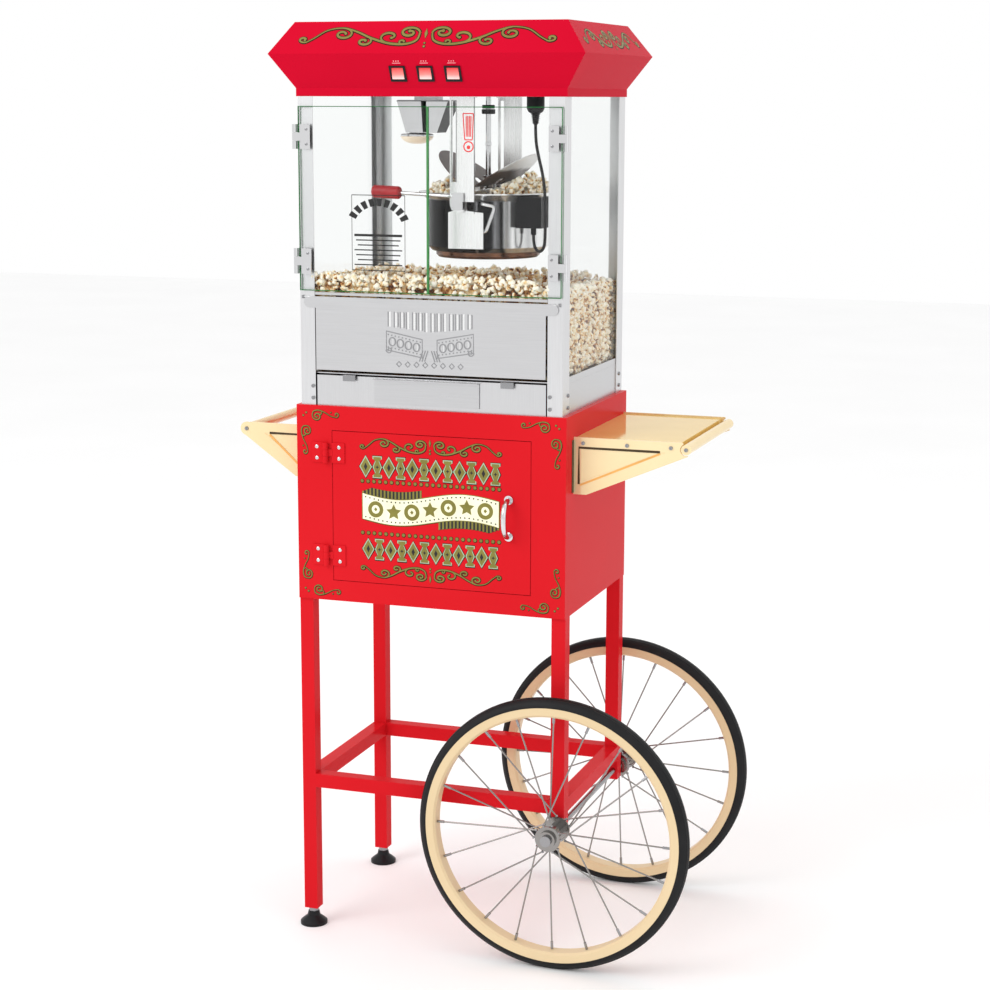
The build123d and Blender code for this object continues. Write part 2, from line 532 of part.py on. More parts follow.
def kettle():
    r, rim = KETTLE_R, KETTLE_RIM_R
    wall = 2.0
    seam = KETTLE_Z0 + 9
    side = turned([(r, seam), (r, FLARE_Z), (rim, KETTLE_Z1 - 2), (rim, KETTLE_Z1),
                   (rim - wall, KETTLE_Z1), (r - wall, FLARE_Z + 1), (r - wall, seam)], x=KETTLE_X)
    seam -= 0.05
    dish = turned([(0, KETTLE_Z0), (r - 8, KETTLE_Z0), (r, KETTLE_Z0 + 8), (r, seam),
                   (r - wall, seam), (r - 9, KETTLE_Z0 + wall), (0, KETTLE_Z0 + wall)], x=KETTLE_X)
    heater = turned([(0, 1166), (84, 1166), (88, 1170), (88, KETTLE_Z0 - 0.1), (0, KETTLE_Z0 - 0.1)],
                    x=KETTLE_X)
    parts["kettle_pot"] = group(side, dish, heater)

    # cross bar with the lid hinge rods, and the two pivot plates on the sides of the pot
    cross = block(KETTLE_X - 11, KETTLE_X + 11, -113, 113, KETTLE_Z1 + 0.1, KETTLE_Z1 + 3.6)
    cross -= rod((KETTLE_X, 0, 1270), (KETTLE_X, 0, 1280), 9)
    for y in (9.5, 70.5):
        for sign in (-1, 1):
            lug = block(KETTLE_X - 10, KETTLE_X + 10, sign * y - 1.5, sign * y + 1.5,
                        KETTLE_Z1 + 3, LID_HINGE_Z + 2.5)
            cross += lug
    for x in (KETTLE_X - LID_HINGE_X, KETTLE_X + LID_HINGE_X):
        for sign in (-1, 1):
            cross += rod((x, sign * 8, LID_HINGE_Z), (x, sign * 72, LID_HINGE_Z), 4)
    frame = [cross]
    for sign in (-1, 1):
        y0, y1 = sorted((sign * 112, sign * 114))
        plate = prism_y([(11, 1185), (72, 1185), (72, 1244), (44, 1247), (42, 1266.3), (22, 1266.3),
                         (20, 1247), (11, 1244)], y0, y1)
        plate += rod((PIVOT_X, sign * 112, PIVOT_Z), (PIVOT_X, sign * 125, PIVOT_Z), 8)
        for z in (1196, 1232):
            plate += rod((KETTLE_X, sign * 103.2, z), (KETTLE_X, sign * 112, z), 9)
        frame.append(plate)
    parts["kettle_frame"] = group(*frame)

    y = HANDLE_Y
    boss = block(22, 42, y - 2.4, y + 2.4, 1249, 1276)
    handle = boss + rod(handle_point(24), handle_point(-78), HANDLE_D)
    y = -107.5
    wire = FilletPolyline((66, -101, 1258), (66, y, 1258), (90, y, 1254), (74, y, 1213),
                          (64, y, 1213), (64, -101.2, 1213), radius=5)
    bail = sweep(Plane(origin=wire @ 0, z_dir=wire % 0) * Circle(BAIL_D / 2), path=wire)
    parts["kettle_handle"] = group(handle, bail)
    grip = rod(handle_point(GRIP_X1), handle_point(GRIP_X0), GRIP_D)
    grip = fillet(grip.edges(), 5) - rod(handle_point(24), handle_point(-78), HANDLE_D)
    parts["kettle_grip"] = grip

    box = block(118, 162, -85, -35, 1219, 1270)
    box -= rod((KETTLE_X, 0, 1200), (KETTLE_X, 0, 1261.6), 2 * r + 0.6)
    box -= rod((KETTLE_X, 0, 1261.5), (KETTLE_X, 0, 1280), 2 * rim + 0.8)
    box += rod((*CORD_END[:2], CORD_END[2] + 0.1), (*CORD_END[:2], 1220), 9)
    parts["kettle_terminal_box"] = box

    heap = turned([(7, 1196), (94, 1196), (r - wall - 1, 1204), (r - wall - 1, FLARE_Z),
                   (105, 1270), (92, 1273.5), (40, 1273.5), (7, 1273.5)], x=KETTLE_X)
    parts["kettle_popcorn"] = heap

    for name, sign, opening in (("right", 1, LID_OPEN_RIGHT), ("left", -1, LID_OPEN_LEFT)):
        half = Cylinder(LID_R, 1.4) - Pos(-LID_R + LID_HINGE_X + 2.6, 0, 0) * Box(2 * LID_R, 240, 10)
        lid = half - Pos(LID_HINGE_X, 0, 0) * Box(44, 25, 10)
        for a, b in ((11.5, 30), (50, 68.5)):
            for side in (-1, 1):
                lid += rod((LID_HINGE_X, side * a, 0), (LID_HINGE_X, side * b, 0), 7.4)
                lid += block(LID_HINGE_X + 1, LID_HINGE_X + 8, *sorted((side * a, side * b)), -0.7, 0.7)
        for side in (-1, 1):
            lid -= rod((LID_HINGE_X, side * 11, 0), (LID_HINGE_X, side * 70, 0), 4.1)
            lid -= block(0, LID_HINGE_X + 5.5, *sorted((side * LUG_GAP_0, side * LUG_GAP_1)), -5, 5)
        lid = Pos(-LID_HINGE_X, 0, 0) * lid
        lid = Rot(0, -opening, 0) * lid
        if sign < 0:
            lid = mirrored_x(lid)
        parts[f"kettle_lid_{name}"] = Pos(KETTLE_X + sign * LID_HINGE_X, 0, LID_HINGE_Z) * lid

    agitator = rod((KETTLE_X, 0, KETTLE_Z0 + 2.5), (KETTLE_X, 0, COUPLING_Z - 1), 8)
    for sign in (-1, 1):
        arm = block(*sorted((KETTLE_X, KETTLE_X + sign * 92)), -3, 3, 1181, 1184)
        agitator += arm
    parts["stirrer"] = agitator

    shaft = rod((KETTLE_X, 0, COUPLING_Z), (KETTLE_X, 0, MACHINE_TOP + 14), 9)
    shaft += rod((KETTLE_X, 0, COUPLING_Z), (KETTLE_X, 0, COUPLING_Z + 11), 17)
    shaft += rod((KETTLE_X, 0, 1400), (KETTLE_X, 0, 1420), 18)
    parts["drive_shaft"] = shaft


def hangers():
    plates = []
    for sign in (-1, 1):
        y0, y1 = sorted((sign * 119.5, sign * 122.5))
        plate = block(17, 60, y0, y1, 1259, MACHINE_TOP)
        plate += rod((PIVOT_X, y0, PIVOT_Z), (PIVOT_X, y1, PIVOT_Z), 30)
        plate -= block(42, 61, y0, y1, 1240, 1262)
        plate -= block(21.6, 27.5, y0, y1, 1294, 1424)
        inner = -sign * 10
        plate += block(17, 60, *sorted((sign * 120, sign * 120 + inner)), 1429.4, MACHINE_TOP)
        plates.append(plate - rod((PIVOT_X, y0, PIVOT_Z), (PIVOT_X, y1, PIVOT_Z), 8.1))
    parts["kettle_hangers"] = group(*plates)


# The kettle's lead drops from its plug, bulges outwards and loops back up into the terminal box.
PLUG_X, PLUG_Y = 150.0, -80.0
LOOP_CENTRE = (157.0, -79.0, 1200.5)
LOOP_R = 19.0
CORD_END = (143.0, -66.0, 1207.6)


def cord_route():
    chamfer = LOOP_R * math.tan(math.radians(22.5))
    across = Vector(CORD_END[0] - LOOP_CENTRE[0], CORD_END[1] - LOOP_CENTRE[1], 0).normalized()
    corners = [(-LOOP_R, -chamfer), (-chamfer, -LOOP_R), (chamfer, -LOOP_R), (LOOP_R, -chamfer)]
    loop = [Vector(*LOOP_CENTRE) + across * h + Vector(0, 0, z) for h, z in corners]
    fall = [(PLUG_X, PLUG_Y, 1387), (PLUG_X, PLUG_Y, 1362), (157, -84, 1334), (167, -90, 1303),
            (171.5, -92.5, 1268), (171.8, -92.8, 1222)]
    return [Vector(*p) for p in fall] + loop + [Vector(*CORD_END)]


def corner_radii(points):
    radii = []
    for before, corner, after in zip(points, points[1:], points[2:]):
        turn = math.radians((corner - before).get_angle(after - corner))
        run = min((corner - before).length, (after - corner).length)
        radii.append(0.45 * run / math.tan(turn / 2))
    return radii


def kettle_lead():
    points = cord_route()
    radii = corner_radii(points)
    print("kettle lead radii", [round(value, 1) for value in radii])
    path = FilletPolyline(*points, radius=radii)
    cord = sweep(Plane(origin=path @ 0, z_dir=path % 0) * Circle(CORD_D / 2), path=path)
    section = math.pi * CORD_D ** 2 / 4
    print("kettle lead length", round(path.length, 1), "volume ratio", cord.volume / (section * path.length))
    parts["kettle_lead"] = cord
    plug = turned([(0, MACHINE_TOP), (14.5, MACHINE_TOP), (14.5, 1412), (12, 1407), (6, 1403),
                   (4, 1387), (0, 1387)], x=PLUG_X, y=PLUG_Y)
    parts["kettle_plug"] = plug


# ---- popcorn, fasteners, inlet ------------------------------------------------------------------
def popcorn_bed():
    z0 = FLOOR_Z + 2.2
    bed = block(-221, 221, -167.5, 164, z0, 1146)
    hollow = loft([slab(280, 190, 1088), slab(404, 296, 1147)], ruled=True)
    grip_trough = block(-84, 14, HANDLE_Y - GRIP_D / 2 - 3, -110, 1102, 1147)
    return bed - hollow - grip_trough


def fasteners():
    pieces = []
    for side in (-1, 1):
        y = side * TRACK
        outer, inner = y + side * 34.5, y - side * 34.5
        pieces.append(ring((AXLE_X, outer, WHEEL_R), (AXLE_X, y + side * 40, WHEEL_R), 18, AXLE_D))
        pieces.append(ring((AXLE_X, side * (LEG_Y + 12), WHEEL_R), (AXLE_X, inner, WHEEL_R), 16, AXLE_D))
        nut = Plane.XY.offset(24) * RegularPolygon(9.5, 6)
        nut = Pos(-LEG_X, side * LEG_Y, 0) * extrude(nut, amount=6.9)
        pieces.append(nut - rod((-LEG_X, side * LEG_Y, 20), (-LEG_X, side * LEG_Y, 33), STEM_D + 0.1))
    for x in (253, 327, 400):
        pieces.append(screw_head(x, SHELF_Y0, 877, (0, -1, 0)))
        pieces.append(screw_head(x, SHELF_Y1, 877, (0, 1, 0)))
    for x, z in ((SHELF_BAR_X, SHELF_BAR_Z), (PUSH_BAR_X, PUSH_BAR_Z)):
        pieces.append(screw_head(x, SHELF_Y0, z, (0, -1, 0)))
        pieces.append(screw_head(x, SHELF_Y1, z, (0, 1, 0)))
    for z in (935, 955):
        for x in (-207.5, 207.5):
            pieces.append(screw_head(x, -CASE_D, z, (0, -1, 0)))
            pieces.append(screw_head(x, CASE_D, z, (0, 1, 0)))
        for y in (-145, 156.5):
            pieces.append(screw_head(-CASE_W, y, z, (-1, 0, 0)))
            pieces.append(screw_head(CASE_W, y, z, (1, 0, 0)))
    for sign in (-1, 1):
        x = sign * BOSS_X
        boss = block(x - 1.6, x + 1.6, FLAP_AXIS_Y - 2, -CASE_D, FLAP_AXIS_Z - 3, FLAP_AXIS_Z + 2.5)
        pieces.append(boss - rod((x - 4, FLAP_AXIS_Y, FLAP_AXIS_Z),
                                 (x + 4, FLAP_AXIS_Y, FLAP_AXIS_Z), 2.1))
    for x in (-141, 136):
        y = -CASE_D + 1.0
        clip = block(x - 11, x + 11, y - 6, y + 14, 974.2, 975.7)
        clip += block(x - 11, x + 11, y - 6, y - 4.5, 966, 975.7)
        pieces.append(clip)
    parts["cart_fasteners"] = group(*pieces)

    gland = ring((150, CASE_D - 1.6, 948), (150, CASE_D + 4, 948), 22, 8)
    gland += ring((150, CASE_D + 4, 948), (150, CASE_D + 14, 948), 16, 8)
    parts["mains_gland"] = gland


def write():
    os.makedirs("parts", exist_ok=True)
    for old in os.listdir("parts"):
        if old.endswith(".step") and old[:-5] not in parts:
            os.remove(os.path.join("parts", old))
    for name, shape in parts.items():
        export_step(Pos(CART_X, 0, 0) * shape, f"parts/{name}.step")
    print(len(parts), "nodes written")


cabinet()
cabinet_door()
legs()
running_gear()
shelf_and_push_bar()
base()
glazing()
glass_doors()
flap_and_drawer()
canopy()
lamp()
kettle()
hangers()
kettle_lead()
parts["popcorn_bed"] = popcorn_bed()
fasteners()
write()
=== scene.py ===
import math
import random

import bmesh
import bpy
import numpy as np
from mathutils import Matrix, Vector, noise


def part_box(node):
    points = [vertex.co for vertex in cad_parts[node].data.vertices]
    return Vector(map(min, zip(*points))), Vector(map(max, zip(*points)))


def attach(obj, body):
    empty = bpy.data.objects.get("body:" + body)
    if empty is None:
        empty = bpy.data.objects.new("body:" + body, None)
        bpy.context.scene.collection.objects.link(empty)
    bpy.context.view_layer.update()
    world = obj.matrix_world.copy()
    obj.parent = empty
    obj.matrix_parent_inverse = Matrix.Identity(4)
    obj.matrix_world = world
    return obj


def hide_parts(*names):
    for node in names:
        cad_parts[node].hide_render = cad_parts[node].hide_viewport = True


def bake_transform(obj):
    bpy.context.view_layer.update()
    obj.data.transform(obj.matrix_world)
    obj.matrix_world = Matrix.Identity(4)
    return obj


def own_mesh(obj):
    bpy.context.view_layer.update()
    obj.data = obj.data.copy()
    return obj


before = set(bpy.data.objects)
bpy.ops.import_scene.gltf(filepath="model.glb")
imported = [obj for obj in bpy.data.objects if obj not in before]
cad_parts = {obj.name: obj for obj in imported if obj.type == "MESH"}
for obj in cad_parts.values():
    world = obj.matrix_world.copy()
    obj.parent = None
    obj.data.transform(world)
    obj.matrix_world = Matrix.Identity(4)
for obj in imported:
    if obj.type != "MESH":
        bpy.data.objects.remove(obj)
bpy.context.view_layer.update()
MM = 0.001
TAU = 2 * math.pi
UP = (0, 0, 1)


# ---- places read from the frame ----------------------------------------------------------------
def node_box(name):
    """A CAD node's lowest and highest corners, as vectors."""
    low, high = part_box(name)
    return Vector(low), Vector(high)


FRONT_LOW, FRONT_HIGH = node_box("cabinet_front")
CART_X = (FRONT_LOW.x + FRONT_HIGH.x) / 2


def at(x, y, z):
    """A point given in millimetres from the cabinet's centre line, in the frame's metres."""
    return Vector((CART_X + x * MM, y * MM, z * MM))


# Places on the cart that several functions share, in millimetres.
KETTLE_X = 41.0
HANGER_FRONT, FLAP_FRONT = -122.5, -176.75
PANE_FRONT, PANE_BACK = -181.0, -176.0
PANE_LOW, PANE_HIGH = 1115.0, 1415.0
PANE_MIDDLE, PANE_EDGE = 1.5, 226.0
WALL_X, BRACKET_FOOT_Z, BAR_Z = 237.0, 792.0, 875.0
SHELF_BAR_X, PUSH_BAR_X = 425.0, -350.0
SHELF_FRONT, SHELF_REAR = -137.0, 165.0
WHEEL_X, WHEEL_Y, AXLE_Z = 229.0, 212.0, 232.8


# ---- materials ---------------------------------------------------------------------------------
class Shader:
    """A material under construction, with short calls for the nodes it needs."""

    def __init__(self, name):
        self.material = bpy.data.materials.new(name)
        self.material.use_nodes = True
        self.nodes = self.material.node_tree.nodes
        self.links = self.material.node_tree.links
        self.bsdf = self.nodes["Principled BSDF"]
        self.coord = self.nodes.new("ShaderNodeTexCoord").outputs["Object"]

    def join(self, value, socket):
        """Links an input to another node's output, or sets it to a plain value."""
        if isinstance(value, bpy.types.NodeSocket):
            self.links.new(value, socket)
        else:
            socket.default_value = value

    def node(self, kind, inputs, output, **settings):
        """One output of a new node whose inputs are values or other nodes' outputs."""
        node = self.nodes.new("ShaderNode" + kind)
        for key, value in settings.items():
            setattr(node, key, value)
        for key, value in inputs.items():
            self.join(value, node.inputs[key])
        return node.outputs[output]

    def set(self, **inputs):
        """Inputs of the Principled shader, with underscores for spaces."""
        for key, value in inputs.items():
            self.join(value, self.bsdf.inputs[key.replace("_", " ")])

    def noise(self, scale, detail=3.0, rough=0.5, stretch=(1, 1, 1)):
        place = self.node("Mapping", {"Scale": stretch, "Vector": self.coord}, "Vector")
        return self.node("TexNoise", {"Scale": scale, "Detail": detail, "Roughness": rough, "Vector": place},
                         "Fac")

    def ramp(self, fac, stops):
        output = self.node("ValToRGB", {"Fac": fac}, "Color")
        elements = output.node.color_ramp.elements
        while len(elements) < len(stops):
            elements.new(0.5)
        for element, (place, colour) in zip(elements, stops):
            element.position = place
            element.color = (*colour, 1.0)
        return output

    def remap(self, fac, start, end, low=0.0, high=1.0):
        """Low at start and high at end, straight in between."""
        return self.node("MapRange", {"From Min": start, "From Max": end, "To Min": low, "To Max": high,
                                      "Value": fac}, "Result")

    def span(self, fac, low, high):
        return self.remap(fac, 0.0, 1.0, low, high)

    def axis(self, name):
        return self.node("SeparateXYZ", {"Vector": self.coord}, name)

    def math(self, operation, first, second):
        return self.node("Math", {0: first, 1: second}, "Value", operation=operation)

    def mix(self, fac, first, second):
        """A blend of two colours; the numbers are the Mix node's colour sockets."""
        return self.node("Mix", {0: fac, 6: first, 7: second}, 2, data_type="RGBA")

    def bump(self, height, strength, distance):
        self.set(Normal=self.node("Bump", {"Strength": strength, "Distance": distance, "Height": height},
                                  "Normal"))


def surface(name, drift, low, high, haze, rough, grain, relief, **inputs):
    """Colour that drifts from low to high, roughness that drifts too, and a fine relief.

    Drift, haze and grain are the three noises; rough is a range, relief a strength and a distance.
    """
    s = Shader(name)
    s.set(**inputs)
    s.set(Base_Color=s.ramp(s.noise(*drift), [(0.3, low), (0.7, high)]))
    s.set(Roughness=s.span(s.noise(*haze), *rough))
    s.bump(s.noise(*grain), *relief)
    return s.material


def paint(name, colour, deep, rough=0.22, specular=0.12):
    """Glossy powder coat: orange peel, a little colour drift, fine roughness drift."""
    return surface(name, (3.0, 2.0), deep, colour, (40.0, 4.0), (rough - 0.04, rough + 0.08),
                   (420.0, 2.0), (0.05, 0.0004), Specular_IOR_Level=specular)


def polished(name, colour, rough=0.08):
    """Plated or polished metal with faint smears."""
    return surface(name, (12.0, 3.0), tuple(c * 0.93 for c in colour), colour, (30.0, 4.0),
                   (rough, rough + 0.1), (220.0, 2.0), (0.03, 0.0002), Metallic=1.0)


def plastic(name, colour, rough=0.45, grain=900.0, strength=0.15, specular=0.3):
    """Moulded plastic or flat print with a fine grain."""
    light = tuple(min(1.0, c * 1.25 + 0.004) for c in colour)
    return surface(name, (30.0, 3.0), colour, light, (50.0, 3.0), (rough - 0.06, rough + 0.08),
                   (grain, 2.0), (strength, 0.0003), Specular_IOR_Level=specular)


def gold_sheet(name, low, high, metallic):
    """Pale gold sheet, part mirror, part lacquer."""
    return surface(name, (9.0, 3.0), low, high, (30.0, 4.0), (0.05, 0.11), (220.0, 2.0), (0.03, 0.0002),
                   Metallic=metallic, Specular_IOR_Level=0.06)


def brushed(name, colour, stretch, rough=0.3, strength=0.08):
    """Metal with a one-way brushed grain."""
    s = Shader(name)
    grain = s.noise(60.0, 6.0, 0.7, stretch)
    s.set(Metallic=1.0, Base_Color=s.ramp(grain, [(0.25, tuple(c * 0.9 for c in colour)), (0.75, colour)]),
          Roughness=s.span(s.noise(25.0, 5.0, 0.6, stretch), rough - 0.08, rough + 0.1))
    s.bump(grain, strength, 0.0002)
    return s.material


def rubber_tyre():
    """Black rubber with a faint bloom."""
    s = Shader("tyre_rubber")
    black = s.ramp(s.noise(25.0, 5.0), [(0.3, (0.004, 0.004, 0.005)), (0.75, (0.010, 0.010, 0.011))])
    s.set(Base_Color=black, Specular_IOR_Level=0.25, Roughness=s.span(s.noise(60.0, 4.0), 0.45, 0.65))
    s.bump(s.noise(700.0, 3.0), 0.3, 0.0005)
    return s.material


def popcorn_material():
    """Popped corn: cream bulbs, with tan hull colour and painted shade, down to near black, where flakes
    fold, and tan to brown where patches fall.
    """
    s = Shader("popcorn_flake")
    reach = s.node("Attribute", {}, "Fac", attribute_name="reach")
    patches = s.remap(s.noise(70.0, 3.0, 0.6), 0.30, 0.62)
    # Low reach marks the folds between bulbs; there the darkest stops of the ramp are painted shade and the
    # tan stops hull colour.
    fac = s.math("MULTIPLY", s.math("ADD", reach, patches), 0.5)
    s.set(Subsurface_Weight=0.08, Subsurface_Scale=0.003, Subsurface_Radius=(1.0, 0.7, 0.4), Roughness=0.8,
          Specular_IOR_Level=0.2,
          Base_Color=s.ramp(fac, [(0.15, (0.10, 0.030, 0.008)), (0.26, (0.46, 0.19, 0.05)),
                                  (0.36, (0.84, 0.56, 0.25)), (0.49, (0.92, 0.79, 0.55)),
                                  (0.75, (0.97, 0.91, 0.78))]))
    s.bump(s.noise(650.0, 4.0, 0.6), 0.4, 0.0012)
    return s.material


def pot_material():
    """Polished steel as painted reflections: near black with vertical bands, a painted highlight on the rim
    and on a band at the right, and a baked heater band.
    """
    s = Shader("kettle_pot_painted_reflections")
    reflection_streaks = s.noise(26.0, 1.5, 0.4, (1, 1, 0.02))
    # Painted reflection: near black, with faint vertical bands and one bright band, standing for mirrored
    # surroundings.
    dark = s.ramp(reflection_streaks, [(0.40, (0.005, 0.005, 0.005)), (0.56, (0.016, 0.015, 0.015)),
                            (0.61, (0.22, 0.22, 0.23)), (0.65, (0.012, 0.012, 0.013))])
    # Painted highlight: this colour goes on a band at the right and on the rim, picked out by the two masks
    # below.
    lit = s.ramp(reflection_streaks, [(0.35, (0.34, 0.34, 0.35)), (0.60, (0.86, 0.86, 0.86))])
    highlight_strip = s.remap(s.axis("X"), CART_X + 96 * MM, CART_X + 101 * MM)
    rim = s.remap(s.axis("Z"), 1261.5 * MM, 1263.5 * MM)
    low = s.remap(s.axis("Z"), 1177.5 * MM, 1176.5 * MM)
    baked = s.ramp(s.noise(60.0, 5.0), [(0.3, (0.05, 0.02, 0.012)), (0.7, (0.24, 0.11, 0.06))])
    s.set(Metallic=0.9, Specular_IOR_Level=0.1, Roughness=s.span(s.noise(40.0, 3.0), 0.12, 0.24),
          Base_Color=s.mix(low, s.mix(s.math("MAXIMUM", highlight_strip, rim), dark, lit), baked))
    s.bump(s.noise(220.0, 2.0), 0.03, 0.0002)
    return s.material


def lid_material(name, baked_to):
    """A steel lid, baked brown near the kettle's middle and clean beyond a distance from it."""
    s = Shader(name)
    away = s.math("ABSOLUTE", s.math("SUBTRACT", s.axis("X"), CART_X + KETTLE_X * MM), 0.0)
    ragged = s.math("MULTIPLY", s.noise(55.0, 5.0, 0.7), 0.016)
    clean = s.remap(s.math("ADD", away, ragged), baked_to, baked_to + 0.008)
    brown = s.ramp(s.noise(40.0, 5.0, 0.6, (1, 6, 1)),
                   [(0.30, (0.030, 0.018, 0.014)), (0.70, (0.13, 0.075, 0.055))])
    wiped = s.noise(30.0, 4.0, 0.6, (1, 8, 1))
    steel = s.ramp(wiped, [(0.30, (0.72, 0.71, 0.70)), (0.65, (0.90, 0.90, 0.90))])
    s.set(Metallic=0.3, Specular_IOR_Level=0.05, Base_Color=s.mix(clean, brown, steel),
          Roughness=s.span(wiped, 0.22, 0.42))
    s.bump(s.noise(160.0, 3.0, 0.6, (1, 12, 1)), 0.08, 0.0003)
    return s.material


def rocker_material():
    """A lit red rocker: paler towards the bottom, where the neon shows through."""
    s = Shader("rocker_lit_red")
    low, high = node_box("rocker_middle")
    mottled = s.math("ADD", s.remap(s.axis("Z"), low.z, high.z), s.math("MULTIPLY", s.noise(90.0, 2.0), 0.12))
    glow = s.ramp(mottled, [(0.05, (1.0, 0.62, 0.60)), (0.42, (0.98, 0.22, 0.20)),
                            (0.95, (0.80, 0.010, 0.014))])
    s.set(Base_Color=glow, Emission_Color=glow, Roughness=0.25, Emission_Strength=0.18)
    s.bump(s.noise(900.0, 2.0), 0.08, 0.0002)
    return s.material


def glow_material():
    """The bulb's frosted face, faintly warm."""
    s = Shader("bulb_glow")
    warm = s.ramp(s.noise(18.0, 2.0), [(0.3, (0.92, 0.74, 0.55)), (0.7, (0.95, 0.84, 0.68))])
    s.set(Base_Color=warm, Emission_Color=warm, Roughness=0.3, Emission_Strength=0.16, Specular_IOR_Level=0.2)
    return s.material


def pane_material(name, tint):
    """Clear sheet: mostly see-through, with a reflection that grows at grazing angles."""
    s = Shader(name)
    s.nodes.remove(s.bsdf)
    clear = s.node("BsdfTransparent", {"Color": (*tint, 1.0)}, "BSDF")
    gloss = s.node("BsdfGlossy", {"Roughness": 0.03}, "BSDF")
    grazing = s.math("POWER", s.node("LayerWeight", {"Blend": 0.5}, "Facing"), 5.0)
    mixed = s.node("MixShader", {"Fac": s.span(grazing, 0.015, 0.5), 1: clear, 2: gloss}, "Shader")
    s.links.new(mixed, s.nodes["Material Output"].inputs["Surface"])
    return s.material


RED = paint("red_cabinet_coat", (0.66, 0.014, 0.021), (0.61, 0.011, 0.017), specular=0.02)
RED_CANOPY = paint("red_canopy_coat", (0.60, 0.005, 0.026), (0.54, 0.004, 0.022), specular=0.008)
STEEL_X = brushed("stainless_brushed_across", (0.62, 0.62, 0.63), (0.25, 12, 12))
STEEL_Z = brushed("stainless_brushed_upright", (0.72, 0.72, 0.73), (12, 12, 0.25))
STEEL_BRIGHT = brushed("stainless_bright_upright", (0.92, 0.92, 0.92), (12, 12, 0.25), 0.25)
STEEL_DRAWER = brushed("stainless_drawer", (0.60, 0.60, 0.61), (0.25, 12, 12))
STEEL_BASE = brushed("stainless_base_front", (0.65, 0.65, 0.66), (12, 12, 0.25))
STEEL_DULL = brushed("stainless_inside", (0.66, 0.66, 0.68), (8, 0.4, 8), rough=0.4)
ZINC = polished("zinc_plated", (0.34, 0.34, 0.35), 0.2)
WHEEL_METAL = polished("wheel_hub_steel", (0.30, 0.29, 0.28), 0.12)
CHROME = polished("chrome_plated", (0.70, 0.70, 0.71), 0.05)
POT = pot_material()
LID_RIGHT = lid_material("kettle_lid_steel", 0.051)
LID_LEFT = lid_material("kettle_lid_baked", 0.150)
GOLD = gold_sheet("bracket_pale_gold", (0.86, 0.69, 0.40), (0.91, 0.74, 0.45), 0.25)
SHELF = gold_sheet("shelf_gold_sheet", (0.81, 0.57, 0.18), (0.86, 0.61, 0.21), 0.32)
RIM = paint("rim_cream_coat", (0.77, 0.61, 0.38), (0.71, 0.55, 0.33), 0.3, 0.2)
TYRE = rubber_tyre()
BLACK = plastic("black_moulded_plastic", (0.007, 0.007, 0.008), 0.35, specular=0.18)
GLOSS_BLACK = plastic("black_glossy_enamel", (0.005, 0.005, 0.006), 0.16, 300.0, 0.05, 0.14)
RED_PLASTIC = rocker_material()
GRIP_RED = plastic("red_grip_plastic", (0.34, 0.008, 0.012), 0.35, 500.0, 0.25)
CORD_BLACK = plastic("cord_rubber", (0.008, 0.008, 0.009), 0.5, 1500.0, 0.3)
POPCORN = popcorn_material()
PANE = pane_material("door_pane", (0.996, 1.0, 0.998))
SIDE_PANE = pane_material("side_pane", (0.992, 0.997, 0.995))
EDGE = plastic("pane_edge_green", (0.012, 0.16, 0.035), 0.2, 200.0, 0.02)
SEAM = plastic("pane_meeting_edge_green", (0.06, 0.24, 0.07), 0.2, 200.0, 0.02)
GLOW = glow_material()
MOTOR = brushed("motor_casting", (0.30, 0.30, 0.32), (1, 1, 1), rough=0.5)
ORNAMENT = plastic("ornament_old_gold", (0.185, 0.165, 0.030), 0.4)
ORNAMENT_LIGHT = plastic("ornament_ribbon_cream", (0.86, 0.82, 0.58), 0.45)
SHADOW = plastic("ornament_dark_outline", (0.010, 0.008, 0.003), 0.5, specular=0.1)
ORNAMENT_EDGE = plastic("ornament_grey_green_edge", (0.36, 0.44, 0.31), 0.45)
PALE_MARK = plastic("printed_mark_pale", (0.80, 0.42, 0.45), 0.5)
RED_MARK = plastic("printed_mark_red", (0.75, 0.03, 0.03), 0.5)
BLACK_MARK = plastic("printed_mark_black", (0.015, 0.015, 0.015), 0.5)
FOLD_DARK = plastic("pressed_fold_shadow", (0.045, 0.026, 0.008), 0.4)
FOLD_AMBER = plastic("pressed_fold_amber", (0.72, 0.37, 0.10), 0.35)
# Painted shade: dark pieces laid where edges, gaps and the lamp funnel's far end fall in shadow.
PAINTED_SHADE = plastic("painted_edge_shade", (0.035, 0.035, 0.037), 0.4)
EMBOSS = brushed("stainless_emboss_shade", (0.34, 0.34, 0.35), (1, 1, 1), rough=0.35)


# ---- mesh helpers ------------------------------------------------------------------------------
def mesh_object(name, verts, faces, material, smooth=True):
    """A mesh in the frame's metres, placed in the scene."""
    mesh = bpy.data.meshes.new(name)
    mesh.from_pydata(verts, [], faces)
    mesh.update()
    mesh.materials.append(material)
    mesh.polygons.foreach_set("use_smooth", [smooth] * len(mesh.polygons))
    obj = bpy.data.objects.new(name, mesh)
    bpy.context.scene.collection.objects.link(obj)
    return obj


def assign(obj, body, replaces=None):
    """Puts a piece on its body and hides the CAD node that it stands for."""
    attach(obj, body)
    if replaces:
        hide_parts(replaces)


def face_outwards(obj, sharp=None):
    """Turns faces outwards and, where sharp is given, creases the edges over that many degrees."""
    mesh = bmesh.new()
    mesh.from_mesh(obj.data)
    bmesh.ops.recalc_face_normals(mesh, faces=mesh.faces)
    if sharp:
        for edge in mesh.edges:
            if len(edge.link_faces) == 2 and edge.calc_face_angle(0.0) > math.radians(sharp):
                edge.smooth = False
    mesh.to_mesh(obj.data)
    mesh.free()


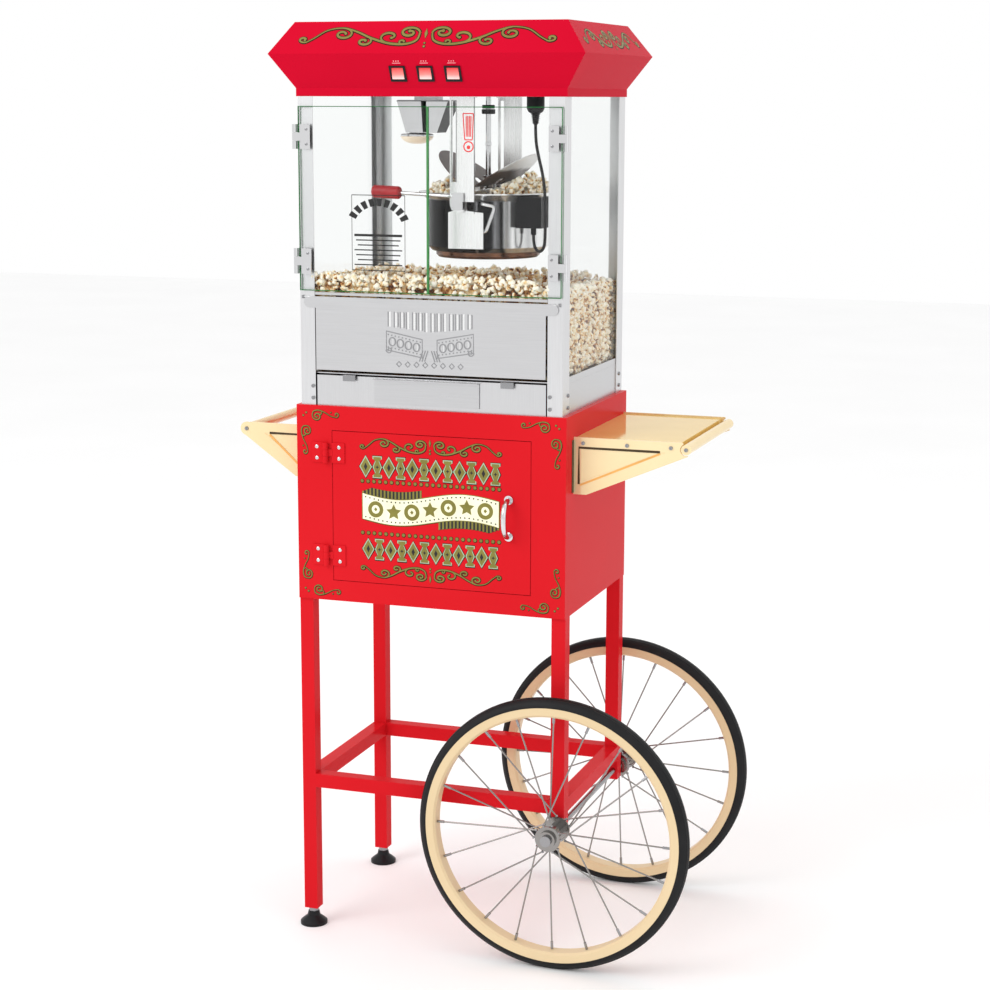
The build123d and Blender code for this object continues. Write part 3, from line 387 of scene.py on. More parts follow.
class Build:
    """Collects simple solids, in millimetres from the cabinet's centre line, into one piece."""

    def __init__(self):
        self.verts, self.faces = [], []

    def add(self, verts, faces):
        base = len(self.verts)
        self.verts += [at(*vert) for vert in verts]
        self.faces += [tuple(i + base for i in face) for face in faces]

    def lathe(self, centre, axis, profile, segments=24):
        """Turns (radius, along) points about an axis; ends are closed where the radius is 0."""
        centre, axis = Vector(centre), Vector(axis).normalized()
        side = axis.orthogonal().normalized()
        other = axis.cross(side)
        rings, verts, faces = [], [], []
        for radius, along in profile:
            if radius < 1e-6:
                rings.append([len(verts)])
                verts.append(centre + axis * along)
                continue
            rings.append(list(range(len(verts), len(verts) + segments)))
            for k in range(segments):
                a = TAU * k / segments
                verts.append(centre + axis * along + (side * math.cos(a) + other * math.sin(a)) * radius)
        for low, high in zip(rings, rings[1:]):
            for k in range(segments):
                n = (k + 1) % segments
                if len(low) == 1:
                    faces.append((low[0], high[n], high[k]))
                elif len(high) == 1:
                    faces.append((low[k], low[n], high[0]))
                else:
                    faces.append((low[k], low[n], high[n], high[k]))
        self.add(verts, faces)

    def rod(self, start, end, radius, segments=12):
        start, end = Vector(start), Vector(end)
        length = (end - start).length
        self.lathe(start, end - start, [(0, 0), (radius, 0), (radius, length), (0, length)], segments)

    def block(self, low, high):
        self.add([(x, y, z) for x in (low[0], high[0]) for y in (low[1], high[1]) for z in (low[2], high[2])],
                 [(0, 1, 3, 2), (4, 6, 7, 5), (0, 4, 5, 1), (2, 3, 7, 6), (0, 2, 6, 4), (1, 5, 7, 3)])

    def finish(self, name, material, body, slot, replaces=None, sharp=35.0):
        """Round work gets smooth shading with creases; flat work has sharp=None."""
        obj = mesh_object(name, self.verts, self.faces, material, smooth=bool(sharp))
        if sharp:
            face_outwards(obj, sharp)
        assign(obj, body, replaces)
        return obj


def strips(name, material, body, slot, blocks):
    """Thin strips, each given by two corners in millimetres, as one piece."""
    build = Build()
    for low, high in blocks:
        build.block(low, high)
    build.finish(name, material, body, slot, sharp=None)


def dress(material, *nodes):
    """Gives CAD nodes their material."""
    for name in nodes:
        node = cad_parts[name]
        if not node.data.materials:
            node.data.materials.append(material)
        for slot in node.material_slots:
            slot.link = "OBJECT"
            slot.material = material


# ---- camera, light, floor ----------------------------------------------------------------------
def camera():
    """The camera looks along yaw and pitch, with a slight roll."""
    yaw, pitch, roll = math.radians(19.059), math.radians(-10.526), math.radians(0.133)
    turn = Matrix.Rotation(yaw, 4, "Z") @ Matrix.Rotation(math.pi / 2 + pitch, 4, "X")
    data = bpy.data.cameras.new("camera")
    data.sensor_width = 36.0
    data.lens = 77.73
    obj = bpy.data.objects.new("camera", data)
    obj.matrix_world = Matrix.Translation(at(1239.0, -3429.7, 1429.1)) @ turn @ Matrix.Rotation(roll, 4, "Z")
    bpy.context.scene.collection.objects.link(obj)
    bpy.context.scene.camera = obj


def area_light(name, place, target, size, power):
    """A rectangular light that faces its target."""
    data = bpy.data.lights.new(name, "AREA")
    data.shape = "RECTANGLE"
    data.size, data.size_y = size
    data.energy = power
    obj = bpy.data.objects.new(name, data)
    direction = Vector(target) - Vector(place)
    obj.rotation_euler = direction.to_track_quat("-Z", "Y").to_euler()
    obj.location = place
    bpy.context.scene.collection.objects.link(obj)


def studio():
    """A white world, three soft lights and a large pale floor."""
    world = bpy.data.worlds.new("studio")
    bpy.context.scene.world = world
    world.use_nodes = True
    background = world.node_tree.nodes["Background"]
    background.inputs["Color"].default_value = (1.0, 1.0, 1.0, 1.0)
    background.inputs["Strength"].default_value = 1.0
    area_light("key", (-2.2, -3.0, 3.2), (0, 0, 0.9), (2.4, 2.4), 62)
    area_light("fill", (3.0, -2.2, 2.0), (0, 0, 0.8), (2.0, 2.6), 5)
    area_light("top", (0.2, 0.4, 3.6), (0, 0, 0.8), (2.5, 2.0), 10)
    floor = Shader("studio_floor")
    floor.set(Roughness=0.85,
              Base_Color=floor.ramp(floor.noise(1.5), [(0.3, (0.95, 0.95, 0.95)), (0.7, (0.97, 0.97, 0.97))]))
    half = 12.0
    corners = [(-half, -half, 0), (half, -half, 0), (half, half, 0), (-half, half, 0)]
    mesh_object("floor", corners, [(0, 1, 2, 3)], floor.material, smooth=False)
    settings = bpy.context.scene.view_settings
    settings.view_transform = "Standard"
    settings.look = "None"


camera()
studio()


# ---- the kettle's lead -------------------------------------------------------------------------
LEAD_D = 5.0
LOOP_CENTRE = Vector((157.0, -79.0, 1200.5))
LOOP_R = 19.0
LEAD_END = (143.0, -66.0, 1207.6)


def lead_route():
    """The lead's control points: down from the plug, out, and round one loop into the box."""
    across = Vector((LEAD_END[0] - LOOP_CENTRE.x, LEAD_END[1] - LOOP_CENTRE.y, 0)).normalized()
    chamfer = LOOP_R * math.tan(math.pi / 8)
    corners = [(-LOOP_R, -chamfer), (-chamfer, -LOOP_R), (chamfer, -LOOP_R), (LOOP_R, -chamfer)]
    loop = [LOOP_CENTRE + across * h + Vector((0, 0, z)) for h, z in corners]
    fall = [(150, -80, 1387), (150, -80, 1362), (157, -84, 1334), (167, -90, 1303),
            (171.5, -92.5, 1268), (171.8, -92.8, 1222)]
    return [at(*p) for p in fall] + [at(*p) for p in loop] + [at(*LEAD_END)]


def spline_points(points):
    """Points along a smooth NURBS line that is steered by the given points."""
    data = bpy.data.curves.new("route", "CURVE")
    data.dimensions = "3D"
    spline = data.splines.new("NURBS")
    spline.points.add(len(points) - 1)
    for control, point in zip(spline.points, points):
        control.co = (*point, 1.0)
    spline.order_u = 3
    spline.use_endpoint_u = True
    spline.resolution_u = 14
    obj = bpy.data.objects.new("route", data)
    bpy.context.scene.collection.objects.link(obj)
    bpy.context.view_layer.update()
    mesh = bpy.data.meshes.new_from_object(obj)
    line = [vertex.co.copy() for vertex in mesh.vertices]
    bpy.data.objects.remove(obj)
    bpy.data.meshes.remove(mesh)
    return line


def tube(name, line, radius, material, segments=14):
    """A round tube along a line, closed at both ends."""
    side = (line[1] - line[0]).orthogonal().normalized()
    verts, faces = [], []
    for i, point in enumerate(line):
        tangent = (line[min(i + 1, len(line) - 1)] - line[max(i - 1, 0)]).normalized()
        side = (side - tangent * side.dot(tangent)).normalized()
        other = tangent.cross(side)
        for k in range(segments):
            a = TAU * k / segments
            verts.append(point + (side * math.cos(a) + other * math.sin(a)) * radius)
    last = (len(line) - 1) * segments
    for row in range(0, last, segments):
        for k in range(segments):
            n = (k + 1) % segments
            faces.append((row + k, row + n, row + segments + n, row + segments + k))
    faces.append(tuple(reversed(range(segments))))
    faces.append(tuple(last + k for k in range(segments)))
    return mesh_object(name, verts, faces, material)


def kettle_lead():
    """The lead itself, and the ribbed relief above it on the plug."""
    line = spline_points(lead_route())
    lead = tube("kettle_lead_cord", line, LEAD_D / 2 * MM, CORD_BLACK)
    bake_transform(lead)
    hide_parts("kettle_lead")
    relief = Build()
    for i in range(5):
        radius = 5.4 + 0.55 * i
        relief.lathe((150, -80, 1388.5 + 3.2 * i), UP,
                     [(0, 0), (radius, 0.3), (radius + 0.5, 0.9), (radius, 1.5), (0, 1.8)], 20)
    relief.finish("kettle_plug_relief_ribs", CORD_BLACK, "cart", "black_plastic")


kettle_lead()


# ---- CAD nodes that stay, in better materials --------------------------------------------------
dress(RED, "cabinet_front", "cabinet_sides", "cabinet_back", "cabinet_floor_and_deck", "cabinet_door",
      "cabinet_hinge_frames", "cabinet_door_hinges", "legs", "lower_rails")
dress(RED_CANOPY, "canopy")
dress(STEEL_X, "base_shell", "dump_flap", "glass_channels")
dress(STEEL_Z, "corner_posts")
dress(STEEL_BASE, "base_front")
dress(STEEL_DRAWER, "kernel_drawer")
dress(STEEL_BRIGHT, "kettle_hangers", "kettle_frame")
dress(STEEL_DULL, "popcorn_floor", "ceiling_plate")
dress(CHROME, "glass_hinge_frames", "glass_door_left_hinges", "glass_door_right_hinges",
      "cabinet_door_handle", "kettle_handle", "stirrer")
dress(WHEEL_METAL, "wheel_front_hub", "wheel_rear_hub")
dress(ZINC, "axle", "cart_fasteners")
dress(BLACK, "switch_bezels", "kettle_plug", "foot_front", "foot_rear", "mains_gland")
dress(RED_PLASTIC, "rocker_left", "rocker_middle", "rocker_right")
dress(GRIP_RED, "kettle_grip")
dress(POT, "kettle_pot")
dress(LID_LEFT, "kettle_lid_left")
dress(LID_RIGHT, "kettle_lid_right")
dress(GLOSS_BLACK, "kettle_terminal_box")
dress(MOTOR, "drive_motor")
dress(GOLD, "side_brackets", "shelf_bar", "push_bar")
dress(SHELF, "serving_shelf")
dress(RIM, "wheel_front_rim", "wheel_rear_rim")
dress(TYRE, "wheel_front_tyre", "wheel_rear_tyre")
dress(SIDE_PANE, "fixed_glass")
dress(PANE, "glass_door_left", "glass_door_right")


# ---- popcorn -----------------------------------------------------------------------------------
FLAKE_KINDS = 10
FLAKE_CORE = 0.36
FINE, COARSE = 3, 2
PIECE_FLAKES = {FINE: 150, COARSE: 600}
DOOR_Y, SILL_Y, BACK_Y = -175.2, -169.3, 164.4
SIDE_X, FLOOR_Z = 221.3, 980.4
SILL_TOP, FLAP_LIP_CLEAR = 1112.5, 997
TROUGH_X, TROUGH_Y, TROUGH_Z = (-90, 20), (-151, -102), 1095
BOWL_Z, BOWL_DEPTH = 1078, 58
BOWL_Y, BOWL_HALF_X, BOWL_HALF_Y = -2, 128, 86
BACK_ROW_Y, FRONT_ROW_Y, FLAP_ROW_Y = 158, -167, -163


def flake_shapes(level):
    """Popped-corn shapes: several bulbs grown from one point, and how far each vertex reaches."""
    rng = random.Random(11)
    mesh = bmesh.new()
    bmesh.ops.create_icosphere(mesh, subdivisions=level, radius=1.0)
    mesh.verts.ensure_lookup_table()
    directions = np.array([v.co.normalized() for v in mesh.verts])
    faces = np.array([[v.index for v in f.verts] for f in mesh.faces])
    mesh.free()
    shapes = []
    for _ in range(FLAKE_KINDS):
        reach = np.full(len(directions), FLAKE_CORE)
        for _ in range(rng.randint(5, 8)):
            centre = Vector((rng.gauss(0, 1), rng.gauss(0, 1), rng.gauss(0, 1))).normalized()
            centre = np.array(centre) * rng.uniform(0.40, 0.66)
            radius = rng.uniform(0.28, 0.42)
            along = directions @ centre
            inside = along ** 2 - centre @ centre + radius ** 2
            hit = np.where(inside > 0, along + np.sqrt(np.maximum(inside, 0)), 0)
            reach = np.maximum(reach, hit)
        offset = rng.uniform(0, 50)
        grain = np.array([noise.noise(Vector(d) * 3.1 + Vector((offset, 0, 0))) for d in directions])
        reach = reach * (1 + 0.10 * grain)
        shade = np.clip((reach - FLAKE_CORE) / 0.42, 0, 1)
        shapes.append((directions * reach[:, None], shade))
    return shapes, faces


FLAKES = {level: flake_shapes(level) for level in (FINE, COARSE)}


def flake_piece(name, places, body, level, replaces, limits):
    """Flakes at (x, y, z, radius) places in millimetres, kept inside limits, as one piece."""
    rng = np.random.default_rng(len(places) + 5)
    shapes, shape_faces = FLAKES[level]
    verts, faces, shades = [], [], []
    for index, (x, y, z, radius) in enumerate(places):
        turn = rng.normal(size=4)
        w, a, b, c = turn / np.linalg.norm(turn)
        matrix = np.array([[1 - 2 * (b * b + c * c), 2 * (a * b - w * c), 2 * (a * c + w * b)],
                           [2 * (a * b + w * c), 1 - 2 * (a * a + c * c), 2 * (b * c - w * a)],
                           [2 * (a * c - w * b), 2 * (b * c + w * a), 1 - 2 * (a * a + b * b)]])
        shape, shade = shapes[int(rng.integers(FLAKE_KINDS))]
        points = (shape * (radius * rng.uniform(0.85, 1.15, 3))) @ matrix.T + np.array([x, y, z])
        verts.append(limits(points) if limits else points)
        faces.append(shape_faces + index * len(shape))
        shades.append(shade)
    points = np.concatenate(verts) * MM
    points[:, 0] += CART_X
    obj = mesh_object(name, points, np.concatenate(faces), POPCORN)
    reach = obj.data.attributes.new("reach", "FLOAT", "POINT")
    reach.data.foreach_set("value", np.concatenate(shades))
    assign(obj, body, replaces)


def flake_pieces(name, places, body, level, replaces, limits=None):
    """Flakes in numbered pieces of a manageable size."""
    size = PIECE_FLAKES[level]
    for part, start in enumerate(range(0, len(places), size)):
        flake_piece(f"{name}_{part}", places[start:start + size], body, level, replaces, limits)


def bed_limits(points):
    """Keeps flakes off the panes, the front sill and the floor."""
    points[:, 0] = np.clip(points[:, 0], -SIDE_X, SIDE_X)
    front = np.where(points[:, 2] > SILL_TOP, DOOR_Y, SILL_Y)
    points[:, 1] = np.clip(points[:, 1], front, BACK_Y)
    points[:, 2] = np.maximum(points[:, 2], FLOOR_Z)
    return points


def bed_height(x, y):
    """The top of the popcorn: a bowl under the kettle that climbs to the panes, higher in front."""
    across = max(0.0, (abs(x) - BOWL_HALF_X) / 78)
    back = max(0.0, (abs(y - BOWL_Y) - BOWL_HALF_Y) / 66)
    rise = min(1.0, max(across, back))
    level = BOWL_Z + BOWL_DEPTH * rise ** 0.8
    if y < -135:
        level += 9 * (-135 - y) / 35
    if x > 150:
        level -= 14 * min(1.0, (x - 150) / 60)
    if TROUGH_X[0] < x < TROUGH_X[1] and TROUGH_Y[0] < y < TROUGH_Y[1]:
        level = min(level, TROUGH_Z)
    return level


def wall_places(rng):
    """Flakes against the side panes, the back pane, the front glass and the flap."""
    step, low = 11.6, 986
    places = []
    for side in (-1, 1):
        for i in range(28):
            for j in range(14):
                y = -162 + i * step + rng.uniform(-4, 4)
                z = low + j * step + rng.uniform(-4, 4)
                if z < bed_height(side * 214, y) - 4:
                    places.append((side * (216 - rng.uniform(0, 4)), y, z, rng.uniform(7, 9.5)))
    for i in range(38):
        for j in range(14):
            x = -214 + i * step + rng.uniform(-4, 4)
            z = low + j * step + rng.uniform(-4, 4)
            if z < bed_height(x, BACK_ROW_Y) - 4:
                places.append((x, BACK_ROW_Y, z, rng.uniform(7, 9.5)))
            if FLAP_LIP_CLEAR < z < bed_height(x, -168) - 3:
                y = FRONT_ROW_Y if z > SILL_TOP - 14 else FLAP_ROW_Y
                places.append((x, y, z, rng.uniform(7, 9.5)))
    return places


def popcorn_bed():
    """Loose flakes over the mass: fine ones in front, where they are seen close to."""
    rng = random.Random(3)
    near, far = [], []
    step = 11.8
    for i in range(int(442 / step) + 1):
        for j in range(int(330 / step) + 1):
            x = -216 + i * step + rng.uniform(-3.6, 3.6)
            y = -166 + j * step + rng.uniform(-3.6, 3.6)
            if abs(x) > 218 or y > 161:
                continue
            for layer in (0, 8):
                z = bed_height(x, y) - 6 - layer + rng.uniform(-3.5, 3.5)
                if layer == 0 or rng.random() < 0.4:
                    places = near if y < -70 or x > 165 else far
                    places.append((x, y, z, rng.uniform(6.4, 9.8)))
    for name, places, level in (("popcorn_front", near, FINE), ("popcorn_rear", far, COARSE),
                                ("popcorn_sides", wall_places(rng), COARSE)):
        flake_pieces(name, places, "cart", level, "popcorn_bed", bed_limits)


def popcorn_core():
    """The mass of popcorn under the loose flakes, so that no gap looks through to the floor."""
    steps_x, steps_y = 60, 46
    xs = [-214 + 428 * i / steps_x for i in range(steps_x + 1)]
    ys = [-163 + 320 * j / steps_y for j in range(steps_y + 1)]
    grid = [(x, y) for y in ys for x in xs]
    verts = [at(x, y, bed_height(x, y) - 13 + 3.0 * noise.noise(Vector((x / 9, y / 9, 0)))) for x, y in grid]
    top = len(verts)
    verts += [at(x, y, 981) for x, y in grid]
    row = steps_x + 1
    faces = []
    for j in range(steps_y):
        for i in range(steps_x):
            a = j * row + i
            faces.append((a, a + 1, a + row + 1, a + row))
            faces.append((top + a, top + a + row, top + a + row + 1, top + a + 1))
    rim = list(range(row)) + [j * row + steps_x for j in range(1, steps_y + 1)]
    rim += [steps_y * row + i for i in range(steps_x - 1, -1, -1)]
    rim += [j * row for j in range(steps_y - 1, 0, -1)]
    faces += [(a, top + a, top + b, b) for a, b in zip(rim, rim[1:] + rim[:1])]
    assign(mesh_object("popcorn_mass", verts, faces, POPCORN), "cart", "popcorn_bed")


def kettle_heap():
    """Popcorn that fills the kettle and stands in two piles under the lids."""
    rng = random.Random(8)
    places = []
    step = 10.6
    for i in range(-9, 10):
        for j in range(-9, 10):
            dx, dy = i * step + rng.uniform(-2.6, 2.6), j * step + rng.uniform(-2.6, 2.6)
            reach = math.hypot(dx, dy)
            if reach > 99:
                continue
            lean, gap, tallest = (34, 7.5, 38) if dx > 0 else (37, 9, 27)
            room = (abs(dx) - 6.5) * math.tan(math.radians(lean)) - gap
            top = min(tallest, room) * max(0.0, 1 - (reach / 112) ** 7)
            height = 0.0
            while height <= max(0.0, top):
                if abs(dx) > 17 or height == 0.0 and abs(dx) > 14:
                    places.append((KETTLE_X + dx, dy, 1268 + height + rng.uniform(-2, 2),
                                   rng.uniform(6.2, 8.8)))
                height += 8.5
    flake_pieces("kettle_popcorn_heap", places, "kettle", FINE, "kettle_popcorn")
    bed = Build()
    bed.lathe((KETTLE_X, 0, 1200), UP,
              [(7, 0), (96, 0), (99, 4), (99, 61), (92, 66), (60, 68), (20, 66), (7, 64), (7, 0)], 48)
    bed.finish("kettle_popcorn_core", POPCORN, "kettle", "popped_corn", "kettle_popcorn")


popcorn_bed()
popcorn_core()
kettle_heap()


# ---- drive shaft and lamp ----------------------------------------------------------------------
def drive_shaft():
    """The telescopic drive: it lifts clear as the kettle tips."""
    shaft = Build()
    shaft.lathe((KETTLE_X, 0, 1290), UP,
                [(0, 0), (7.5, 0), (8.5, 1), (8.5, 10), (7.5, 11), (4.5, 11.2), (4.5, 60), (5.2, 60.5),
                 (5.2, 66), (4.5, 66.5), (4.5, 154), (0, 154)], 32)
    obj = shaft.finish("drive_shaft_telescopic", CHROME, "drive_shaft", "kettle_steel", "drive_shaft")
    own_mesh(obj)
    collars = Build()
    inner, teeth = 4.7, 14
    for z, radius, height in ((1402.5, 10.5, 8.0), (1411.5, 9.8, 6.0)):
        collars.lathe((KETTLE_X, 0, z), UP,
                      [(inner, 0), (radius, 0), (radius, height), (inner, height), (inner, 0)], 28)
        for k in range(teeth):
            a = TAU * k / teeth
            x, y = KETTLE_X + radius * math.cos(a), radius * math.sin(a)
            collars.rod((x, y, z + 0.5), (x, y, z + height - 0.5), 0.9, 8)
    collars.finish("drive_shaft_collars", BLACK, "drive_shaft", "black_plastic")


def plate(build, near, inner):
    """A sheet between four outer corners and the four inside them."""
    build.add(near + inner, [(0, 1, 2, 3), (7, 6, 5, 4), (0, 4, 5, 1), (1, 5, 6, 2), (2, 6, 7, 3),
                             (3, 7, 4, 0)])


def lamp():
    """The split funnel as folded sheet, its right end plate and a line along its top front edge dark as
    painted shade, and the reflector bulb below it.
    """
    wide, narrow, deep, shallow = 46.0, 28.0, 30.0, 22.0
    low, high, wall = 1371.0, 1424.0, 1.5
    centre, foot_centre, bulb_x = -66.0, -71.0, -87
    shade, end, lip, glass, can = Build(), Build(), Build(), Build(), Build()

    def corner(sx, sy, top, inset):
        if top:
            return Vector((centre + sx * (wide - inset), sy * (deep - inset), high))
        return Vector((foot_centre + sx * (narrow - inset), sy * (shallow - inset), low))

    for sy in (-1, 1):
        for sx in (-1, 1):
            stop = centre + (2.0 if sy > 0 else 6.5 if sx > 0 else -2.5)
            sheet = []
            for inset in (0, wall):
                foot, head = corner(sx, sy, False, inset), corner(sx, sy, True, inset)
                sheet.append([foot, (stop, foot.y, foot.z), (stop, head.y, head.z), head])
            plate(shade, *sheet)
    # The right end plate is its own piece, dark as painted shadow.
    for sx, build in ((-1, shade), (1, end)):
        plate(build, *[[corner(sx, -1, False, inset), corner(sx, 1, False, inset),
                        corner(sx, 1, True, inset), corner(sx, -1, True, inset)] for inset in (0, wall)])
    # A dark line along the top front edge: painted shade.
    lip.block((centre - wide, -deep - 0.4, high - 1.0), (centre + wide, -deep, high + 0.4))
    shade.block((centre - 45, -29, 1424), (centre + 45, 29, 1425.5))
    shade.block((centre - 20, -15, 1425.5), (centre + 20, 15, 1431))
    glass.lathe((bulb_x, 0, 1352), UP,
                [(0, 0), (7, 0.3), (13, 1.3), (19, 3.4), (24, 6.6), (27, 10), (27.8, 12.8), (0, 12.9)], 40)
    can.lathe((bulb_x, 0, 1365), UP,
              [(0, 0), (28, 0), (28, 2.5), (26, 4), (16, 5.2), (10, 5.8), (9, 31), (9.8, 32), (9.8, 58),
               (0, 58)], 40)
    for name, build, material, sharp in (
            ("shade_end_painted_shadow", end, PAINTED_SHADE, None), ("shade_lip_painted_shade", lip, PAINTED_SHADE, None),
            ("shade", shade, STEEL_X, None), ("bulb_face", glass, GLOW, 60), ("bulb_body", can, CHROME, 35)):
        build.finish(f"lamp_{name}", material, "cart", "lamp_parts", "lamp", sharp)


drive_shaft()
lamp()


# ---- flat artwork ------------------------------------------------------------------------------
def ellipse(u, v, half_u, half_v, sides):
    return [(u + half_u * math.cos(TAU * k / sides), v + half_v * math.sin(TAU * k / sides))
            for k in range(sides)]


class Art:
    """Painted ornament on a flat face: closed thin shapes in layers, each layer its own piece."""

    LAYERS = {"dark": (SHADOW, 0.08), "cream": (ORNAMENT_LIGHT, 0.15), "edge": (ORNAMENT_EDGE, 0.15),
              "gold": (ORNAMENT, 0.22), "black": (BLACK_MARK, 0.29)}
    FOOT, STEP, LEVELS = 0.01, 0.006, 8

    def __init__(self, origin, across=(1, 0, 0), up=(0, 0, 1), mirror_about=None, edge=0.9):
        self.origin, self.across, self.up = Vector(origin), Vector(across), Vector(up)
        self.out = self.across.cross(self.up).normalized()
        self.mirror_about, self.edge = mirror_about, edge
        self.shapes = {}

    def both(self, points):
        """The points, and their mirror image where the work is mirrored."""
        if self.mirror_about is None:
            return [points]
        return [points, [(2 * self.mirror_about - u, v) for u, v in points]]

    def add(self, layer, points, widths=None, closed=False):
        self.shapes.setdefault(layer, []).append((points, widths, closed))

    def polygon(self, points, layer="gold", outline=0.0):
        """A filled outline, with a darker copy a little larger under it."""
        for shape in self.both(points):
            self.add(layer, shape)
            if outline:
                cu, cv = np.mean(shape, axis=0)
                grown = []
                for u, v in shape:
                    factor = 1 + outline / (math.hypot(u - cu, v - cv) or 1.0)
                    grown.append((cu + (u - cu) * factor + 0.25, cv + (v - cv) * factor - 0.25))
                self.add("dark", grown)

    def disc(self, u, v, radius, layer="gold", outline=0.0, sides=12):
        self.polygon(ellipse(u, v, radius, radius, sides), layer, outline)

    def lozenge(self, u, v, half_u, half_v, layer="gold", outline=0.0):
        self.polygon(ellipse(u, v, half_u, half_v, 4), layer, outline)

    def star(self, u, v, radius, layer, outline, tips, waist):
        points = []
        for k in range(2 * tips):
            r = radius if k % 2 == 0 else radius * waist
            a = math.pi * k / tips + math.pi / 2
            points.append((u + r * math.cos(a), v + r * math.sin(a)))
        self.polygon(points, layer, outline)

    def stroke(self, points, widths, layer="gold", outline=0.0, closed=False):
        """A brush line of one or of varying width, over a dark line a little wider."""
        widths = widths if isinstance(widths, list) else [widths] * len(points)
        for line in self.both(points):
            self.add(layer, line, widths, closed)
            if outline:
                shifted = [(u + 0.4, v - 0.4) for u, v in line]
                self.add("dark", shifted, [w + 2 * outline for w in widths], closed)

    def finish(self, name, body, slot="red_paint", **materials):
        for layer, shapes in self.shapes.items():
            material, height = materials.get(layer, self.LAYERS[layer])
            build = Build()
            for index, (points, widths, closed) in enumerate(shapes):
                level = height + self.STEP * (index % self.LEVELS)
                if widths:
                    self.band(build, points, widths, closed, level)
                else:
                    self.prism(build, points, level)
            face_outwards(build.finish(f"{name}_{layer}", material, body, slot, sharp=None))

    def place(self, u, v, height):
        return self.origin + self.across * u + self.up * v + self.out * height

    def prism(self, build, points, height):
        n = len(points)
        verts = [self.place(u, v, level) for level in (height, self.FOOT) for u, v in points]
        faces = [tuple(range(n)), tuple(reversed(range(n, 2 * n)))]
        faces += [(k, n + k, n + (k + 1) % n, (k + 1) % n) for k in range(n)]
        build.add(verts, faces)

    def band(self, build, line, widths, closed, height):
        n = len(line)
        verts, faces = [], []
        for i, (u, v) in enumerate(line):
            before = line[i - 1] if i or closed else line[i]
            after = line[(i + 1) % n] if i < n - 1 or closed else line[i]
            du, dv = after[0] - before[0], after[1] - before[1]
            size = math.hypot(du, dv) or 1.0
            nu, nv = -dv / size * widths[i] / 2, du / size * widths[i] / 2
            verts += [self.place(u + sign * nu, v + sign * nv, level) for sign in (1, -1)
                      for level in (height, self.FOOT)]
        for i in range(n if closed else n - 1):
            a, b = 4 * i, 4 * ((i + 1) % n)
            faces += [(a, b, b + 2, a + 2), (a + 1, a + 3, b + 3, b + 1), (a, a + 1, b + 1, b),
                      (a + 2, b + 2, b + 3, a + 3)]
        if not closed:
            end = 4 * (n - 1)
            faces += [(0, 2, 3, 1), (end, end + 1, end + 3, end + 2)]
        build.add(verts, faces)


def smooth_line(points, steps=9):
    """A Catmull-Rom line through the given points."""
    line = []
    for i in range(len(points) - 1):
        p0, p1 = points[max(i - 1, 0)], points[i]
        p2, p3 = points[i + 1], points[min(i + 2, len(points) - 1)]
        for k in range(steps):
            t = k / steps
            line.append(tuple(0.5 * (2 * b + (c - a) * t + (2 * a - 5 * b + 4 * c - d) * t ** 2
                                     + (3 * b - a - 3 * c + d) * t ** 3)
                              for a, b, c, d in zip(p0, p1, p2, p3)))
    return line + [points[-1]]


class Pen:
    """Draws scrollwork in its own small frame, mapped onto an Art's face."""

    def __init__(self, art, origin, along, inward, width):
        self.art, self.origin, self.along, self.inward, self.width = art, origin, along, inward, width

    def place(self, x, y):
        return (self.origin[0] + x * self.along[0] + y * self.inward[0],
                self.origin[1] + x * self.along[1] + y * self.inward[1])

    def stem(self, points):
        line = smooth_line(points)
        n = len(line) - 1
        widths = [self.width * (0.55 + 0.45 * math.sin(math.pi * min(1.0, 1.3 * i / n + 0.1)))
                  for i in range(n + 1)]
        self.art.stroke([self.place(*p) for p in line], widths, "gold", self.art.edge)

    def spiral(self, x, y, heading, radius, turns, hand, thick=1.0):
        """A curl that leaves (x, y) along heading and winds inwards, ending in a ball."""
        h = math.radians(heading)
        cx, cy = x - radius * math.sin(h) * hand, y + radius * math.cos(h) * hand
        steps = max(10, int(26 * turns))
        line, widths = [], []
        for i in range(steps + 1):
            t = i / steps
            r = radius * (1 - 0.74 * t ** 0.85)
            a = h + hand * TAU * turns * t
            line.append(self.place(cx + r * math.sin(a) * hand, cy - r * math.cos(a) * hand))
            widths.append(self.width * thick * (0.72 + 0.28 * math.sin(math.pi * t)))
        self.art.stroke(line, widths, "gold", self.art.edge)
        self.art.disc(*line[-1], self.width * 0.62 * thick, "gold", self.art.edge)


def garland(art, origin, along, inward, width):
    """Half of a long scroll: a waving stem with a curl in each belly.  100 long and 40 high."""
    pen = Pen(art, origin, along, inward, width)
    pen.spiral(3.5, 20, 90, 8.5, 1.25, -1, 1.1)
    pen.stem([(3.5, 20), (5.5, 9), (14, 3.5), (27, 4.5), (42, 12), (54, 21), (66, 27), (79, 24),
              (89, 13), (95, 7)])
    pen.spiral(95, 7, -35, 4.6, 0.95, 1, 0.9)
    pen.spiral(30, 5.8, 18, 9.0, 0.85, 1)
    pen.spiral(45, 14, 205, 7.0, 1.05, 1)
    pen.spiral(66, 27, 180, 8.6, 1.2, 1)
    pen.spiral(17, 3.6, 12, 3.6, 0.7, 1, 0.8)


def corner_tendril(art, origin, along, inward, width):
    """A short scroll that runs from a corner along one edge.  62 long and 16 high."""
    pen = Pen(art, origin, along, inward, width)
    pen.spiral(13, 9.5, 95, 7.8, 1.3, -1, 1.05)
    pen.stem([(13, 9.5), (15, 2.6), (23, 0.2), (33, 3.2), (44, 9.4), (53, 11.2)])
    pen.spiral(53, 11.2, -4, 4.8, 0.8, -1)
    pen.spiral(27, 1.2, 22, 4.6, 0.6, 1, 0.85)
    art.disc(*pen.place(44, 3.2), width * 0.55, "gold", art.edge)


